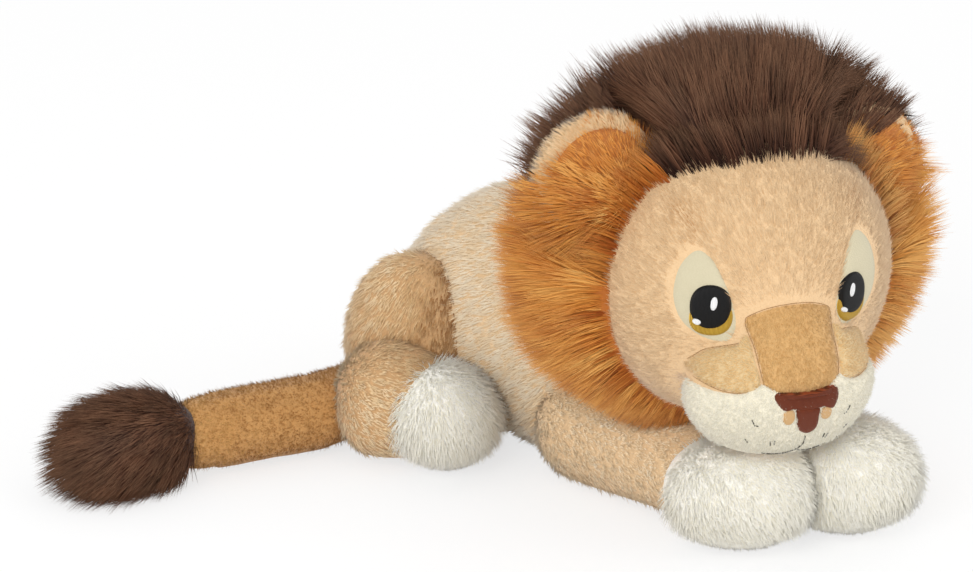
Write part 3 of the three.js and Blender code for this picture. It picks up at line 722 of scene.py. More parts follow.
# --- Head -------------------------------------------------------------------------------------
# A round skull with a short broad snout, stuffed hard. The skin is where rays from the middle
# of the head leave the smoothly joined eggs of skull, snout and bridge.
skull_middle = np.array([0, -66, 101])


def egg_height(points, middle, sizes, lean=0.0):
    """Height above an egg, close to it: k (k - 1) / g, where k is the length of the point over
    the half sizes and g that of the point over their squares."""
    q = points - middle
    c, s = math.cos(lean), math.sin(lean)
    q = np.stack([q[..., 0], c * q[..., 1] - s * q[..., 2], s * q[..., 1] + c * q[..., 2]], -1)
    k = np.linalg.norm(q / sizes, axis=-1)
    g = np.linalg.norm(q / np.square(sizes), axis=-1)
    return k * (k - 1) / np.maximum(g, 1e-9)


def joined(first, second, softness):
    """The lower of two heights, rounded where they are nearly equal."""
    share = np.clip(0.5 + 0.5 * (second - first) / softness, 0, 1)
    return second + (first - second) * share - softness * share * (1 - share)


def head_height(points):
    """Height above the head. The left half of its snout is narrower than the right."""
    skull = egg_height(points, skull_middle, np.array([58.0, 45.0, 57.0]))
    snout_sizes = np.where(points[..., :1] > 0, [34.8, 22.0, 26.5], [37.0, 22.0, 26.5])
    snout = egg_height(points, np.array([0, -104.0, 69]), snout_sizes)
    bridge_sizes = np.array([19.0, 16.5, 28.5])
    bridge = egg_height(points, np.array([0, -102.0, 85]), bridge_sizes, math.radians(20))
    return joined(joined(skull, snout, 7.0), bridge, 6.0)


def met(starts, ways, near, far):
    """Where rays from outside meet the head, found by halving the stretch between near and far
    thirty times."""
    low, high = np.full(len(starts), float(near)), np.full(len(starts), float(far))
    for _ in range(30):
        middle = (low + high) / 2
        outside = head_height(starts + ways * middle[:, None]) > 0
        low, high = np.where(outside, middle, low), np.where(outside, high, middle)
    return starts + ways * low[:, None]


down = np.linspace(0, np.pi, 66)[1:-1, None]
around = np.linspace(0, 2 * np.pi, 96, endpoint=False)[None]
head_ways = sphere_ways(down, around).reshape(-1, 3)
head_heart = np.array([0, -84.0, 88.0])
head_points = met(head_heart + 120 * head_ways, -head_ways, 0, 120)
head = closed("head_skin", head_points.reshape(64, 96, 3))
dress(head, tan_ground, "head", "tan_plush", "head_shell", fill=0.95)


def head_normal(points):
    """The way that the head's height grows fastest, from steps of a tenth of a millimetre."""
    steps = 0.1 * np.eye(3)
    return unit(np.stack([head_height(points + s) - head_height(points - s) for s in steps], -1))


# --- Face panels ------------------------------------------------------------------------------
# Cloth shapes sewn into the face: cream felt round the eyes, darker velour on the bridge,
# lighter velour beside it and a white muzzle. Each is a thin lens whose edge sinks in its seam.
def smooth_outline(corners, count=72):
    """A closed smooth line of so many points through corners."""
    ring = np.vstack([corners[-1:], corners, corners[:2]])
    spot = np.linspace(0, len(corners), count, endpoint=False)
    return cubic(ring, spot.astype(int), (spot % 1)[:, None])


def on_face(flat):
    """Front-view points, X and height above the skull's middle, carried back onto the head."""
    before_face = np.full(flat.shape[:-1], -200.0)
    starts = np.stack([flat[..., 0], before_face, skull_middle[2] + flat[..., 1]], -1)
    backwards = np.broadcast_to(np.array([0, 1.0, 0]), starts.shape).reshape(-1, 3)
    return met(starts.reshape(-1, 3), backwards, 0, 140).reshape(starts.shape)


snout_heart = np.array([0, -100.0, 70.0])


def on_snout(angles):
    """Points by turn and rise in degrees from the snout's middle, carried out onto the head."""
    turn, rise = np.radians(angles[..., 0]), np.radians(angles[..., 1])
    level = np.cos(rise)
    ways = np.stack([np.sin(turn) * level, -np.cos(turn) * level, np.sin(rise)], -1).reshape(-1, 3)
    return met(snout_heart + 60 * ways, -ways, 0, 60).reshape(*angles.shape[:-1], 3)


def pad(name, outline, onto, lift, sink=0.8, edge=8, rings=14, heart=None):
    """A closed lens on the head. At share r from its heart to its outline it stands lift times
    (1 - r to the power edge) above the skin, less the sink at its edge, and its back lies 1.2
    below the skin."""
    heart = outline.mean(0) if heart is None else np.asarray(heart, float)
    shares = np.sin(np.linspace(0.04, 1, rings) * np.pi / 2)
    flat = heart + shares[:, None, None] * (outline - heart)[None]
    ground = onto(flat)
    normal = head_normal(ground)
    rise = lift - (lift + sink) * shares ** edge
    front = ground + rise[:, None, None] * normal
    back = ground - (sink + 1.2 * (1 - shares ** edge))[:, None, None] * normal
    return closed(name, np.concatenate([front, back[::-1][1:]]))


def felt(name, dark, light, grain_mm, depth_mm):
    """Brushed cloth: fine fibres over a soft mottle."""
    finish = Finish(name, roughness=0.95, sheen=0.25)
    fibres = finish.noise(1000 / grain_mm, 3.0)
    mottle = finish.noise(90, 2.0)
    finish.feed(
        Base_Color=finish.blend(fibres * 0.6 + mottle * 0.4, linear(*dark), linear(*light)),
        Normal=finish.relief(fibres, depth_mm),
    )
    return finish


eye_patch_outline = np.array([
    [31.4, 22.8], [27.0, 19.2], [23.6, 11.4], [21.0, 3.8], [19.2, -5.6], [21.4, -11.6],
    [26.5, -13.4], [33.0, -11.2], [39.0, -4.9], [41.4, 4.2], [39.8, 13.6], [36.0, 20.0],
])
bridge_outline = np.array([
    [-17.6, -4.2], [-15.0, -1.8], [-8.0, 0.6], [0.0, 1.4], [8.0, 0.6], [15.0, -1.8], [17.6, -4.2],
    [16.4, -12.0], [16.0, -20.0], [14.6, -28.0], [8.0, -31.0], [-8.0, -31.0], [-14.6, -28.0],
    [-16.0, -20.0], [-16.4, -12.0],
])
cheek_outline = np.array([
    [16.6, -8.6], [20.5, -11.8], [27.0, -13.6], [31.5, -16.0], [35.4, -20.5], [35.8, -24.8],
    [29.0, -27.6], [21.0, -28.4], [15.8, -26.2], [16.2, -17.0],
])
cream_felt = felt("cream felt", (178, 169, 141), (198, 189, 162), 0.5, 0.15)
bridge_velour = felt("bridge velour", (184, 140, 86), (210, 170, 116), 0.7, 0.35)
cheek_velour = felt("cheek velour", (192, 162, 116), (214, 188, 144), 0.7, 0.4)
white_plush = felt("muzzle plush", (208, 200, 178), (228, 221, 201), 0.8, 0.5)
cheeks = {}
for name, side in (("left", 1), ("right", -1)):
    flip = np.array([side, 1])
    patch = pad("eye_felt_" + name, smooth_outline(eye_patch_outline * flip), on_face, 0.9)
    dress(patch, cream_felt, "head", "cream_felt", "eye_patch_" + name)
    cheek = pad("cheek_velour_" + name, smooth_outline(cheek_outline * flip), on_face, 1.1)
    cheeks[name] = dress(cheek, cheek_velour, "head", "cheek_velour", "cheek_panel_" + name)
bridge = pad("bridge_velour", smooth_outline(bridge_outline), on_face, 1.4)
dress(bridge, bridge_velour, "head", "bridge_velour", "muzzle_bridge")

muzzle_outline = np.array([
    [0, 3], [18, 6], [27, 11], [36, 13.5], [43, 9.5], [50, 6.0], [64, 5.8], [80, 7.5], [93, 6], [98, -10],
    [94, -30], [86, -48], [60, -60], [30, -66], [0, -68], [-30, -66], [-60, -60], [-86, -48],
    [-94, -30], [-98, -10], [-93, 6], [-80, 7.5], [-64, 5.8], [-50, 6.0], [-43, 9.5], [-36, 13.5],
    [-27, 11], [-18, 6],
], float)
muzzle_outline = smooth_outline(muzzle_outline, 160)
muzzle = pad("muzzle_plush", muzzle_outline, on_snout, 1.8, edge=10, rings=30, heart=(0, -22))
dress(muzzle, white_plush, "head", "white_plush", "muzzle")

# --- Seams of the face ------------------------------------------------------------------------
# Where panels meet, a fine dark tube lies sunk between them: painted shade of the seam's groove, seen as
# a fine dark line.
def thread(name, corners, onto, steps, lift, radius):
    """A closed tube of six sides through corners that are carried onto the head: at each point a
    circle square to the way onwards, thinner at both ends."""
    ground = onto(eased(corners, np.linspace(0, 1, steps * len(corners))))
    path = ground + lift * head_normal(ground)
    way = unit(np.gradient(path, axis=0))
    across = unit(np.cross(way, head_normal(path)))[:, None]
    up = np.cross(across[:, 0], way)[:, None]
    around = np.linspace(0, 2 * np.pi, 6, endpoint=False)[None, :, None]
    number = np.arange(len(path))
    ends = np.minimum(1, 0.3 + np.minimum(number, number[::-1]))[:, None, None]
    return closed(name, path[:, None] + radius * ends * (np.cos(around) * across + np.sin(around) * up))


def thread_finish(name, roughness, cells, dark, light):
    finish = Finish(name, roughness=roughness)
    return finish.feed(Base_Color=finish.blend(finish.noise(cells), linear(*dark), linear(*light)))


# The seam tubes' colour is painted shade: dark lines where the seams' grooves fall in shadow.
painted_seam_shade = thread_finish("seam thread", 0.9, 1500, (136, 98, 62), (178, 140, 98))
bridge_top = [(17.0, -4.8), (14.6, -2.2), (8, 0.2)]
seams = {"bridge_top_seam": [
    (-16.0, -12), *[(-x, z) for x, z in bridge_top], (0, 1.0), *bridge_top[::-1], (16.0, -12),
]}
for name, side in (("left", 1), ("right", -1)):
    for title, corners in (
        ("bridge_side_seam_", [[16.0, -12], [15.7, -20], [14.6, -27]]),
        ("cheek_low_seam_", [[15.9, -26.3], [21, -28.2], [29, -27.6], [35.6, -25]]),
        ("cheek_high_seam_", [[20.5, -12], [27.0, -13.8], [31.5, -16.0], [35.4, -20.5]]),
    ):
        seams[title + name] = np.array(corners) * [side, 1]
for name, corners in seams.items():
    piece = thread(name, corners, on_face, steps=12, lift=0.1, radius=0.13)
    dress(piece, painted_seam_shade, "head", "tan_plush")

# --- Eyes -------------------------------------------------------------------------------------
# Satin stitch on the felt: a black oval pupil over a gold crescent, with two white lights.
def satin(name, dark, light, pitch_mm=0.42, bands="X"):
    """Satin stitch: parallel shining threads of a pitch, with a slight waver."""
    finish = Finish(name, roughness=0.45)
    finish.shader.inputs["Specular IOR Level"].default_value = 0.25
    waver = {"Distortion": 1.2, "Detail": 1.0, "Detail Scale": 1.0}
    threads = finish.waves(bands, 314 / pitch_mm, **waver)
    return finish.feed(
        Base_Color=finish.blend(threads, linear(*dark), linear(*light)),
        Normal=finish.relief(threads, 0.25),
    )


def oval(middle, width, height, tilt=0.0):
    """A line a little boxier than an ellipse: half sizes times the signed powers, of 2 over 2.2,
    of cosine and sine."""
    turn = np.linspace(0, 2 * np.pi, 64, endpoint=False)
    round_line = np.stack([np.cos(turn), np.sin(turn)], -1)
    flat = np.array([width, height]) / 2 * np.sign(round_line) * np.abs(round_line) ** (2 / 2.2)
    turned = np.array([[math.cos(tilt), -math.sin(tilt)], [math.sin(tilt), math.cos(tilt)]])
    return np.asarray(middle) + flat @ turned.T


black_stitch = satin("black satin stitch", (4, 4, 5), (17, 16, 17))
gold_stitch = satin("gold satin stitch", (150, 112, 22), (206, 168, 66))
white_stitch = satin("white satin stitch", (214, 214, 214), (250, 250, 250), pitch_mm=0.5)
for name, side, x, z, width, height in (
    ("left", 1, 27.2, -0.6, 12.6, 16.8), ("right", -1, -28.6, 0.9, 14.4, 17.8),
):
    crescent = oval((x - 0.2 * side, z - 4.0), width + 0.8, height - 3.0)
    iris = pad("iris_stitch_" + name, crescent, on_face, 1.6, sink=0.2, edge=14)
    dress(iris, gold_stitch, "head", "gold_stitch", "iris_" + name)
    pupil = pad("pupil_stitch_" + name, oval((x, z), width, height), on_face, 2.0, sink=0.2, edge=14)
    dress(pupil, black_stitch, "head", "black_stitch", "pupil_" + name)
    for title, line in (
        ("eye_light_large_", oval((x - side, z + 1.8), 2.6, 6.0, -0.15)),
        ("eye_light_small_", oval((x - 4.4, z - 5.2), 3.2, 2.4, -0.5)),
    ):
        light = pad(title + name, line, on_face, 2.4, sink=0.2, edge=12, rings=8)
        dress(light, white_stitch, "head", "cream_felt")

# --- Nose, mouth and whiskers -----------------------------------------------------------------
# A reddish-brown anchor in satin stitch, with a raised roll along its top and a tan nostril
# under each arm. Black thread draws the mouth and three whisker roots on each side.
bar_outline = np.array([
    [-11.8, -28.2], [-6, -28.6], [0.5, -28.8], [7, -28.4], [12.6, -28.0], [14.1, -29.8], [14.0, -33.2],
    [12.2, -36.4], [10.2, -35.7], [8.0, -34.9], [5.8, -35.3], [0.8, -35.4], [-4.2, -34.8], [-6.2, -34.2],
    [-8.6, -34.8], [-10.4, -33.2], [-12.2, -30.6],
])
stem_outline = np.array([
    [-3.6, -33.5], [5.4, -34.0], [5.9, -38.0], [5.8, -41.8], [4.6, -44.2], [1.6, -45.4], [-1.4, -44.0],
    [-3.0, -41.4], [-3.8, -37.5],
])
roll_outline = np.array([
    [-11.8, -27.8], [0.5, -28.5], [13.0, -27.6], [14.2, -29.2], [13.0, -30.6], [0.4, -31.0],
    [-10.8, -30.4], [-12.5, -29.2],
])
rust_stitch = satin("rust satin stitch", (74, 27, 10), (132, 60, 30), bands="Z")
for name, outline, count, heart, lift, edge, rings, stands_for in (
    ("nose_stitch", bar_outline, 120, (0.8, -31.6), 3.0, 14, 22, ["nose"]),
    ("nose_stem", stem_outline, 90, (1.2, -39), 3.3, 8, 18, []),
    ("nose_roll", roll_outline, 90, (0.8, -29.5), 4.2, 3, 12, []),
):
    line = smooth_outline(outline, count)
    piece = pad(name, line, on_face, lift, sink=0, edge=edge, rings=rings, heart=heart)
    dress(piece, rust_stitch, "head", "rust_stitch", *stands_for)
tan_stitch = satin("tan satin stitch", (196, 150, 96), (228, 190, 140))
for name, spot, tall in (("left", (8.3, -37.4), 5.6), ("right", (-6.2, -37.2), 6.6)):
    line = oval(spot, 4.8, tall)
    nostril = pad("nostril_stitch_" + name, line, on_face, 2.7, sink=0, edge=14, rings=12)
    dress(nostril, tan_stitch, "head", "bridge_velour")

# Threads by turn and rise on the snout, in degrees, with their height above the skin
stitches = {
    "mouth_drop": ([(3.5, -33), (4.5, -41), (1.5, -47), (-4, -51)], 2.2),
    "mouth_line_right": ([(-4, -50.5), (-14, -53), (-28, -52), (-38, -48)], 2.2),
    "mouth_line_left": ([(-1, -48), (8, -52), (20, -53), (34, -49)], 2.2),
}
whisker_stitches = [
    [(-41, -12), (-39.5, -16)], [(-39.5, -17), (-36.5, -18)], [(-47, -28), (-46, -32)],
    [(-28.5, -34), (-28.5, -39)], [(-24.5, -34), (-25, -38.5)],
]
for name, side in (("left", -1), ("right", 1)):
    for number, ends in enumerate(whisker_stitches):
        stitches["whisker_%s_%d" % (name, number)] = (np.array(ends) * [side, 1], 2.0)
black_thread = thread_finish("black thread", 0.6, 2500, (14, 13, 14), (52, 48, 46))
for name, (corners, lift) in stitches.items():
    piece = thread(name, corners, on_snout, steps=10, lift=lift, radius=0.2)
    dress(piece, black_thread, "head", "black_stitch")

# --- Ears -------------------------------------------------------------------------------------
# Round ears that lean out: a tan back whose rim shows all round an orange lining of long pile.
def leaning_ball(name, middle, sizes, lean):
    """A ball that leans about its middle, as a turn about Y takes Z towards X."""
    piece = ball(name, middle, sizes)
    x, y, z = (places(piece) - middle).T
    c, s = math.cos(lean), math.sin(lean)
    move(piece, middle + np.stack([c * x + s * z, y, c * z - s * x], 1))
    return piece


orange_ground = backing("orange pile ground", (140, 78, 34), (196, 126, 66))
ears = {}  # middle of the ear, skin of its back, skin of its lining and the way that it points
for name, spot, size, lean in (("left", (54, 9, 34), 0.91, 58), ("right", (-56, 6, 40), 1.0, -50)):
    hub = skull_middle + np.array(spot)
    lean = math.radians(lean)
    back = leaning_ball("ear_skin_" + name, hub, (24.5 * size, 5.5, 23.5 * size), lean)
    dress(back, tan_ground, "ear_" + name, "tan_plush", "ear_back_" + name, fill=0.3)
    front = hub - np.array([0, 3.2, 0])
    lining = leaning_ball("ear_lining_skin_" + name, front, (20 * size, 5.5, 19 * size), lean)
    dress(lining, orange_ground, "ear_" + name, "orange_pile", "ear_lining_" + name, fill=0.3)
    ears[name] = (hub, back, lining, np.array([math.sin(lean), 0, math.cos(lean)]))

# --- Mane -------------------------------------------------------------------------------------
# Long pile combed away from the face: brown over the crown and down the back, orange at both
# sides. Under each stands a core as thick as the roots of its pile.
mane_middle = skull_middle + np.array([0, 17, 4])
mane_core = ball("mane_core", mane_middle, (78, 39, 73), sides=96, steps=72)


def beside_ears(points, inner, outer):
    """1 where a point lies within the inner distance of an ear's axis, falling to 0 at the outer."""
    away = np.minimum(*(
        np.hypot(points[:, 0] - hub[0], points[:, 2] - hub[2]) for hub, *_ in ears.values()
    ))
    return np.clip((outer - away) / (outer - inner), 0, 1)


# Hollows that the ears lie in, and fold out of
spots = places(mane_core)
hollow = beside_ears(spots, 27, 36) * (spots[:, 1] < -46)
spots[:, 1] += hollow * (-48 - spots[:, 1])
move(mane_core, spots)


def at_side(points):
    """Which points lie on the orange sides of the mane: beyond 34 of the middle or under the
    face, below a line that falls towards the back, and in front of the nape."""
    x, y, z = (points - skull_middle).T
    return ((np.abs(x) > 34) | (z < -10)) & (z < 42 - 0.3 * (y + 10)) & (y < 24)


mane_ground = Finish("mane ground", roughness=0.95, sheen=0.1)
mottle = mane_ground.noise(300, 3.0)
mane_ground.feed(Base_Color=mane_ground.blend(
    mane_ground.node("ShaderNodeAttribute", {"attribute_name": "side"}, {}, "Fac"),
    mane_ground.blend(mottle, linear(40, 24, 18), linear(74, 48, 38)),
    mane_ground.blend(mottle, linear(140, 74, 28), linear(190, 116, 54)),
))
mark = mane_core.data.attributes.new("side", "FLOAT", "POINT")
mark.data.foreach_set("value", at_side(places(mane_core)).astype(np.float32))
dress(mane_core, mane_ground, "head", "brown_pile", "mane_crown", fill=0.5)

# --- Pile of the body -------------------------------------------------------------------------
# Short straight pile over torso, haunches, legs and tail, and softer, longer pile on the paws.
# Each is rooted on its own skin and kept out of the others.
rng = np.random.default_rng(7)


def leg_ground(place):
    """The front or hind legs and their paws as one ground."""
    return Ground(*(legs[place + side][part] for part in (2, 3) for side in ("left", "right")))


torso_ground = Ground(torso)
haunch_ground = Ground(haunches["left"], haunches["right"])
hind_ground, front_ground = leg_ground("hind_"), leg_ground("front_")
head_ground = Ground(head)
tan_pile = pile_finish("tan pile", [
    (196, 126, 62), (194, 146, 96), (216, 174, 126), (232, 198, 154), (240, 214, 176), (246, 230, 204),
], (230, 220, 208), (246, 226, 194, 0.25), sheen=0.25)


def room(roots, *grounds):
    """The height of each root above the nearest of the grounds and the floor."""
    heights = roots[:, 2] - 1.8
    for ground in grounds:
        heights = np.minimum(heights, ground.height(roots))
    return heights


def patchy(points, scale, seed):
    """Slow random change over space, about -1 to 1: sines with random ways and starts, in three
    layers of which each is finer and weaker."""
    local = np.random.default_rng(seed)
    total = np.zeros(len(points))
    for k in range(3):
        ways = unit(local.normal(size=(4, 3))) * (2 * np.pi / scale) * 1.7**k
        total += (np.sin(points @ ways.T + local.random(4) * 6.3)).mean(1) / 1.4**k
    return total


def short_pile(name, finish, body, slot, ground, density, flow, shade, others, keep=None,
               length=4.6, width=0.62, rise=0.45, stray=0.22, mottle=1.0, pull=0.2, sink=0.6):
    """Short strands on a ground, kept out of the floor and of the other grounds. Near those a
    strand is darker: painted shade in the creases and where it meets the floor. The flow and
    the shade are values or functions of place."""
    roots, normals = ground.roots(density, rng)
    heights = room(roots, *others)
    free = (heights > -0.8) & (normals[:, 2] > -0.8)
    if keep is not None:
        free &= keep(roots)
    roots, normals, heights = roots[free], normals[free], heights[free]
    ways = combed(roots, normals, flow(roots) if callable(flow) else flow, rise, stray, rng)
    n = len(roots)
    heads = clumped(roots, 14, rng)
    change = 0.06 * patchy(roots, 9, 5) + rng.normal(0, 0.06, n) + rng.normal(0, 0.04, n)[heads]
    # Painted shade: strands within a few millimetres of another ground or the floor are darker.
    painted_crease_shade = 0.16 * np.exp(-np.square(np.maximum(heights, 0) / 3.0))
    tones = (shade(roots) if callable(shade) else shade) + mottle * change - painted_crease_shade
    lengths, widths = length * rng.uniform(0.7, 1.15, n), width * rng.uniform(0.8, 1.3, n)
    return pile(name, finish, body, slot, roots - sink * normals, normals, ways, lengths, widths,
                tones, heads, pull)


def rumpwards(roots):
    """From the neck to the rump along the bend, and down the flanks."""
    back = np.clip((roots[:, 1] - neck[1]) / torso_length, 0, 1)[:, None]
    along = (1 - back) * np.array([-0.15, 1, 0]) + back * np.array([-0.9, 0.45, 0])
    return along + np.array([0, 0, -0.55])


short_pile("torso_pile", tan_pile, "trunk", "tan_plush", torso_ground, 1.15, rumpwards, 0.92,
           [haunch_ground, hind_ground, front_ground], length=5.2)
thigh_pile = pile_finish("thigh pile", [
    (146, 98, 54), (176, 130, 82), (210, 170, 120), (234, 202, 156), (246, 222, 184),
], (226, 214, 200), (242, 216, 178, 0.2), sheen=0.15)


def thigh_shade(roots):
    """Brown where the thigh meets the flank, fading to tan towards the rump and over the top."""
    ahead = (roots - hip_middle) @ hip_forward
    return 0.78 - 0.6 / (1 + np.exp(-(ahead - 2) / 4)) * np.clip((88 - roots[:, 2]) / 16, 0, 1)


def darker_above(roots):
    """Light low on a hind leg, and darker from a height of 26 up to 44, under the haunch."""
    return 0.92 - 0.25 * np.clip((roots[:, 2] - 26) / 18, 0, 1)


def mid_tail_shade(roots):
    """Browner about the middle of the tail, towards its root."""
    return 0.42 - 0.2 * np.exp(-((roots[:, 0] + 135) / 34) ** 2)


short_pile("haunch_pile", thigh_pile, "trunk", "thigh_plush", haunch_ground, 1.2,
           np.array([-0.3, 0.1, -1.0]), thigh_shade, [torso_ground, hind_ground], mottle=1.3)
for name in ("left", "right"):
    root, paw_middle, leg, paw = legs["hind_" + name]
    short_pile("hind_leg_pile_" + name, thigh_pile, "hind_leg_" + name, "thigh_plush", Ground(leg),
               1.15, paw_middle - root, darker_above, [torso_ground, haunch_ground, Ground(paw)])
    root, paw_middle, leg, paw = legs["front_" + name]
    short_pile("front_leg_pile_" + name, tan_pile, "front_leg_" + name, "tan_plush", Ground(leg), 1.15,
               paw_middle - root, 0.8, [torso_ground, Ground(paw)])
golden_pile = pile_finish("golden pile", [
    (142, 88, 38), (168, 116, 60), (192, 146, 84), (212, 172, 112), (228, 198, 146),
], (226, 214, 200), (224, 184, 124, 0.25), sheen=0.05)
short_pile("tail_pile", golden_pile, "tail", "tan_plush", Ground(tail), 1.7, tail_way, mid_tail_shade,
           [haunch_ground], length=3.0, width=0.42, rise=1.0, stray=0.4, mottle=1.1, pull=0.05)

white_pile = pile_finish("white pile", [
    (242, 235, 211), (249, 243, 223), (252, 248, 233), (254, 251, 241),
], (249, 246, 236), (254, 252, 243, 0.3), sheen=0.5)
for place in ("front", "hind"):
    for name in ("left", "right"):
        root, paw_middle, leg, paw = legs[place + "_" + name]
        roots, normals = Ground(paw).roots(1.5, rng)
        leg_side = ((roots - paw_middle) @ unit(paw_middle - root)) > -15
        free = (room(roots) > -0.8) & leg_side
        roots, normals = roots[free], normals[free]
        n = len(roots)
        # Combed away from a spot over the ankle
        flow = roots - paw_middle * 0.6 - root * 0.4 - np.array([0, 0, 24])
        ways = combed(roots, normals, flow, 0.9, 0.3, rng)
        # Shorter where the floor or the chin presses it
        pressed = np.clip((roots[:, 2] - 1) / 14, 0.3, 1)
        pressed *= np.clip((head_ground.height(roots) + 2) / 8, 0.25, 1)
        lengths, widths = rng.uniform(4.5, 7.5, n) * pressed, rng.uniform(0.3, 0.5, n)
        tones = 0.6 + 0.1 * patchy(roots, 12, 3) + rng.normal(0, 0.12, n)
        pile(place + "_paw_pile_" + name, white_pile, place + "_leg_" + name, "white_plush",
             roots - 0.6 * normals, normals, ways, lengths, widths, tones, clumped(roots, 14, rng),
             0.08, bend=-0.15, joints=2)

# --- Pile of the head -------------------------------------------------------------------------
# Short plush round the sewn panels, a nap on the velour and the muzzle, and long pile for mane,
# ear linings and tuft. Crown and sides of the mane share one set of roots.
def inside(flat, outline):
    """Even-odd rule: whether a line to the right of each point crosses the outline oddly often."""
    x, y = flat[:, :1], flat[:, 1:]
    start, end = outline.T, np.roll(outline, -1, axis=0).T
    straddles = (start[1] > y) != (end[1] > y)
    climb = np.where(end[1] == start[1], 1e-9, end[1] - start[1])
    cross = start[0] + (y - start[1]) * (end[0] - start[0]) / climb
    return (straddles & (x < cross)).sum(1) % 2 == 1


def bare_face(roots):
    """Where the head's own plush shows: outside every sewn panel. It grows a little over the
    edge of the eye felt and of the muzzle."""
    flat = np.stack([roots[:, 0], roots[:, 2] - skull_middle[2]], 1)
    front = roots[:, 1] < -72
    taken = np.zeros(len(roots), bool)
    flip = [-1, 1]
    for outline, share in (
        (bridge_outline, 1.0), (eye_patch_outline, 0.95), (eye_patch_outline * flip, 0.95),
        (cheek_outline, 1.0), (cheek_outline * flip, 1.0),
    ):
        outline = smooth_outline(outline)
        taken |= front & inside(flat, outline.mean(0) + share * (outline - outline.mean(0)))
    q = roots - snout_heart
    turn = np.degrees(np.arctan2(q[:, 0], -q[:, 1]))
    rise = np.degrees(np.arctan2(q[:, 2], np.hypot(q[:, 0], q[:, 1])))
    near = np.linalg.norm(q / np.array([40, 30, 32]), axis=1) < 1.1
    taken |= near & inside(np.stack([turn, rise], 1), 0.97 * muzzle_outline)
    return ~taken


face_source = np.array([0, -128.0, 84.0])  # on the nose, which the face's pile is combed away from


def from_nose(roots):
    return roots - face_source


def face_shade(roots):
    """Light tan, a little darker along the dart down each side of the brow, painted shade of its
    groove, and orange at the dart's upper end.
    """
    across, rise = np.abs(roots[:, 0]), roots[:, 2] - skull_middle[2]
    line = np.interp(rise, [24, 30, 35, 40], [31.9, 32.0, 36.3, 36.6])
    along = (rise > 22) & (rise < 42) & (roots[:, 1] < skull_middle[1])
    # The dart's darker line is painted shade of its groove.
    dart = 0.1 * along * np.exp(-np.square((across - line) / 1.3))
    return 0.47 - dart - 0.2 * np.exp(-np.square(np.hypot(across - 32.5, rise - 30) / 5.5))


def above_head(least):
    """A test for roots that stand more than so high above the head's skin."""
    return lambda roots: head_height(roots) > least


short_pile("head_pile", tan_pile, "head", "tan_plush", head_ground, 2.1, from_nose, face_shade,
           [Ground(mane_core)], bare_face, length=5.4, width=0.38, rise=0.25, stray=0.09, mottle=0.4,
           pull=0.05)
nap = dict(length=1.9, width=0.34, rise=0.6, stray=0.3, mottle=0.8, pull=0.0, sink=0.1)
muzzle_nap = pile_finish("muzzle nap", [
    (229, 222, 200), (238, 232, 213), (244, 239, 223),
], (242, 238, 226), (248, 245, 234, 0.3), sheen=0.2)
velour_nap = pile_finish("velour nap", [
    (188, 138, 78), (212, 168, 108), (228, 190, 134), (236, 208, 160),
], (228, 216, 200), (240, 212, 164, 0.2), sheen=0.2)
short_pile("muzzle_nap", muzzle_nap, "head", "white_plush", Ground(muzzle), 2.2, from_nose, 0.6,
           [head_ground], above_head(0.0), **nap)
short_pile("bridge_nap", velour_nap, "head", "bridge_velour", Ground(bridge), 2.4,
           np.array([0, 0, -1.0]), 0.42, [head_ground], above_head(-0.3), **nap)
for name, cheek in cheeks.items():
    short_pile("cheek_nap_" + name, velour_nap, "head", "cheek_velour", Ground(cheek), 2.2, from_nose,
               0.8, [head_ground], above_head(-0.3), **nap)

# Plush on the backs of the ears, and on the right one's rim, which shows
for name, rim in (("left", 30), ("right", 2)):
    hub, back, lining, outwards = ears[name]
    short_pile("ear_pile_" + name, tan_pile, "ear_" + name, "tan_plush", Ground(back), 1.7,
               lambda p: p - skull_middle, 0.58, [Ground(lining)],
               lambda p: (p[:, 1] > hub[1] + 1) | ((p - hub) @ outwards > rim), length=4.8, rise=0.8)

brown_pile = pile_finish("brown pile", [
    (28, 14, 9), (56, 31, 21), (88, 54, 38), (130, 90, 66),
], (112, 94, 86), (156, 118, 90, 0.65), roughness=0.6, sheen=0.0)
orange_pile = pile_finish("orange pile", [
    (148, 68, 16), (190, 104, 32), (218, 142, 58), (240, 182, 102),
], (196, 164, 138), (242, 188, 116, 0.5), roughness=0.65, sheen=0.05)


STRANDS_TO_A_PIECE = 18000


def long_pile(name, finish, body, slot, roots, normals, source, length, rise, droop, clump=20,
              pull=0.32, width=0.38, stray=0.13, tone=0.5, reach=1.0):
    """Long strands combed away from a source, leaning together in clumps that share a shade. They
    bend down by the droop, a share of their length."""
    n = len(roots)
    ways = combed(roots, normals, roots - source, rise, stray, rng)
    heads = clumped(roots, clump, rng)
    own, shared = rng.normal(0, 0.09, n), rng.normal(0, 0.15, n)[heads]
    tones = tone + 0.14 * patchy(roots, 14, 9) + own + shared
    lengths = length * reach * rng.uniform(0.65, 1.1, n)
    return pile(name, finish, body, slot, roots - 1.5 * normals, normals, ways, lengths,
                width * rng.uniform(0.7, 1.3, n), tones, heads, pull, bend=-droop, joints=2)


def face_edge(roots):
    """How far behind the face's edge a root lies: the edge is level at the sides, 12 in front of
    the skull's middle, and curves forward over the brow to 26."""
    x, y, z = (roots - skull_middle).T
    brow = np.clip((z - 22) / 16, 0, 1) * 14.5 * np.clip(1 - (np.abs(x) / 40) ** 2.2, 0, 1)
    return y - (-12 + 5 * np.clip(-z / 30, 0, 1) - brow)


# Roots on the core all round, more thickly in front, and on the skin behind the face's edge
core_ground = Ground(mane_core)
roots, normals = core_ground.roots(2.2, rng)
free = (head_ground.height(roots) > -2) & (torso_ground.height(roots) > 0) & (roots[:, 2] > 4)
free &= (roots[:, 1] < -42) | (rng.random(len(roots)) < 0.4)
band, band_normals = head_ground.roots(2.2, rng)
behind = (face_edge(band) > 0) & (core_ground.height(band) > -3) & (band[:, 1] < -50)
roots = np.concatenate([roots[free], band[behind]])
normals = np.concatenate([normals[free], band_normals[behind]])
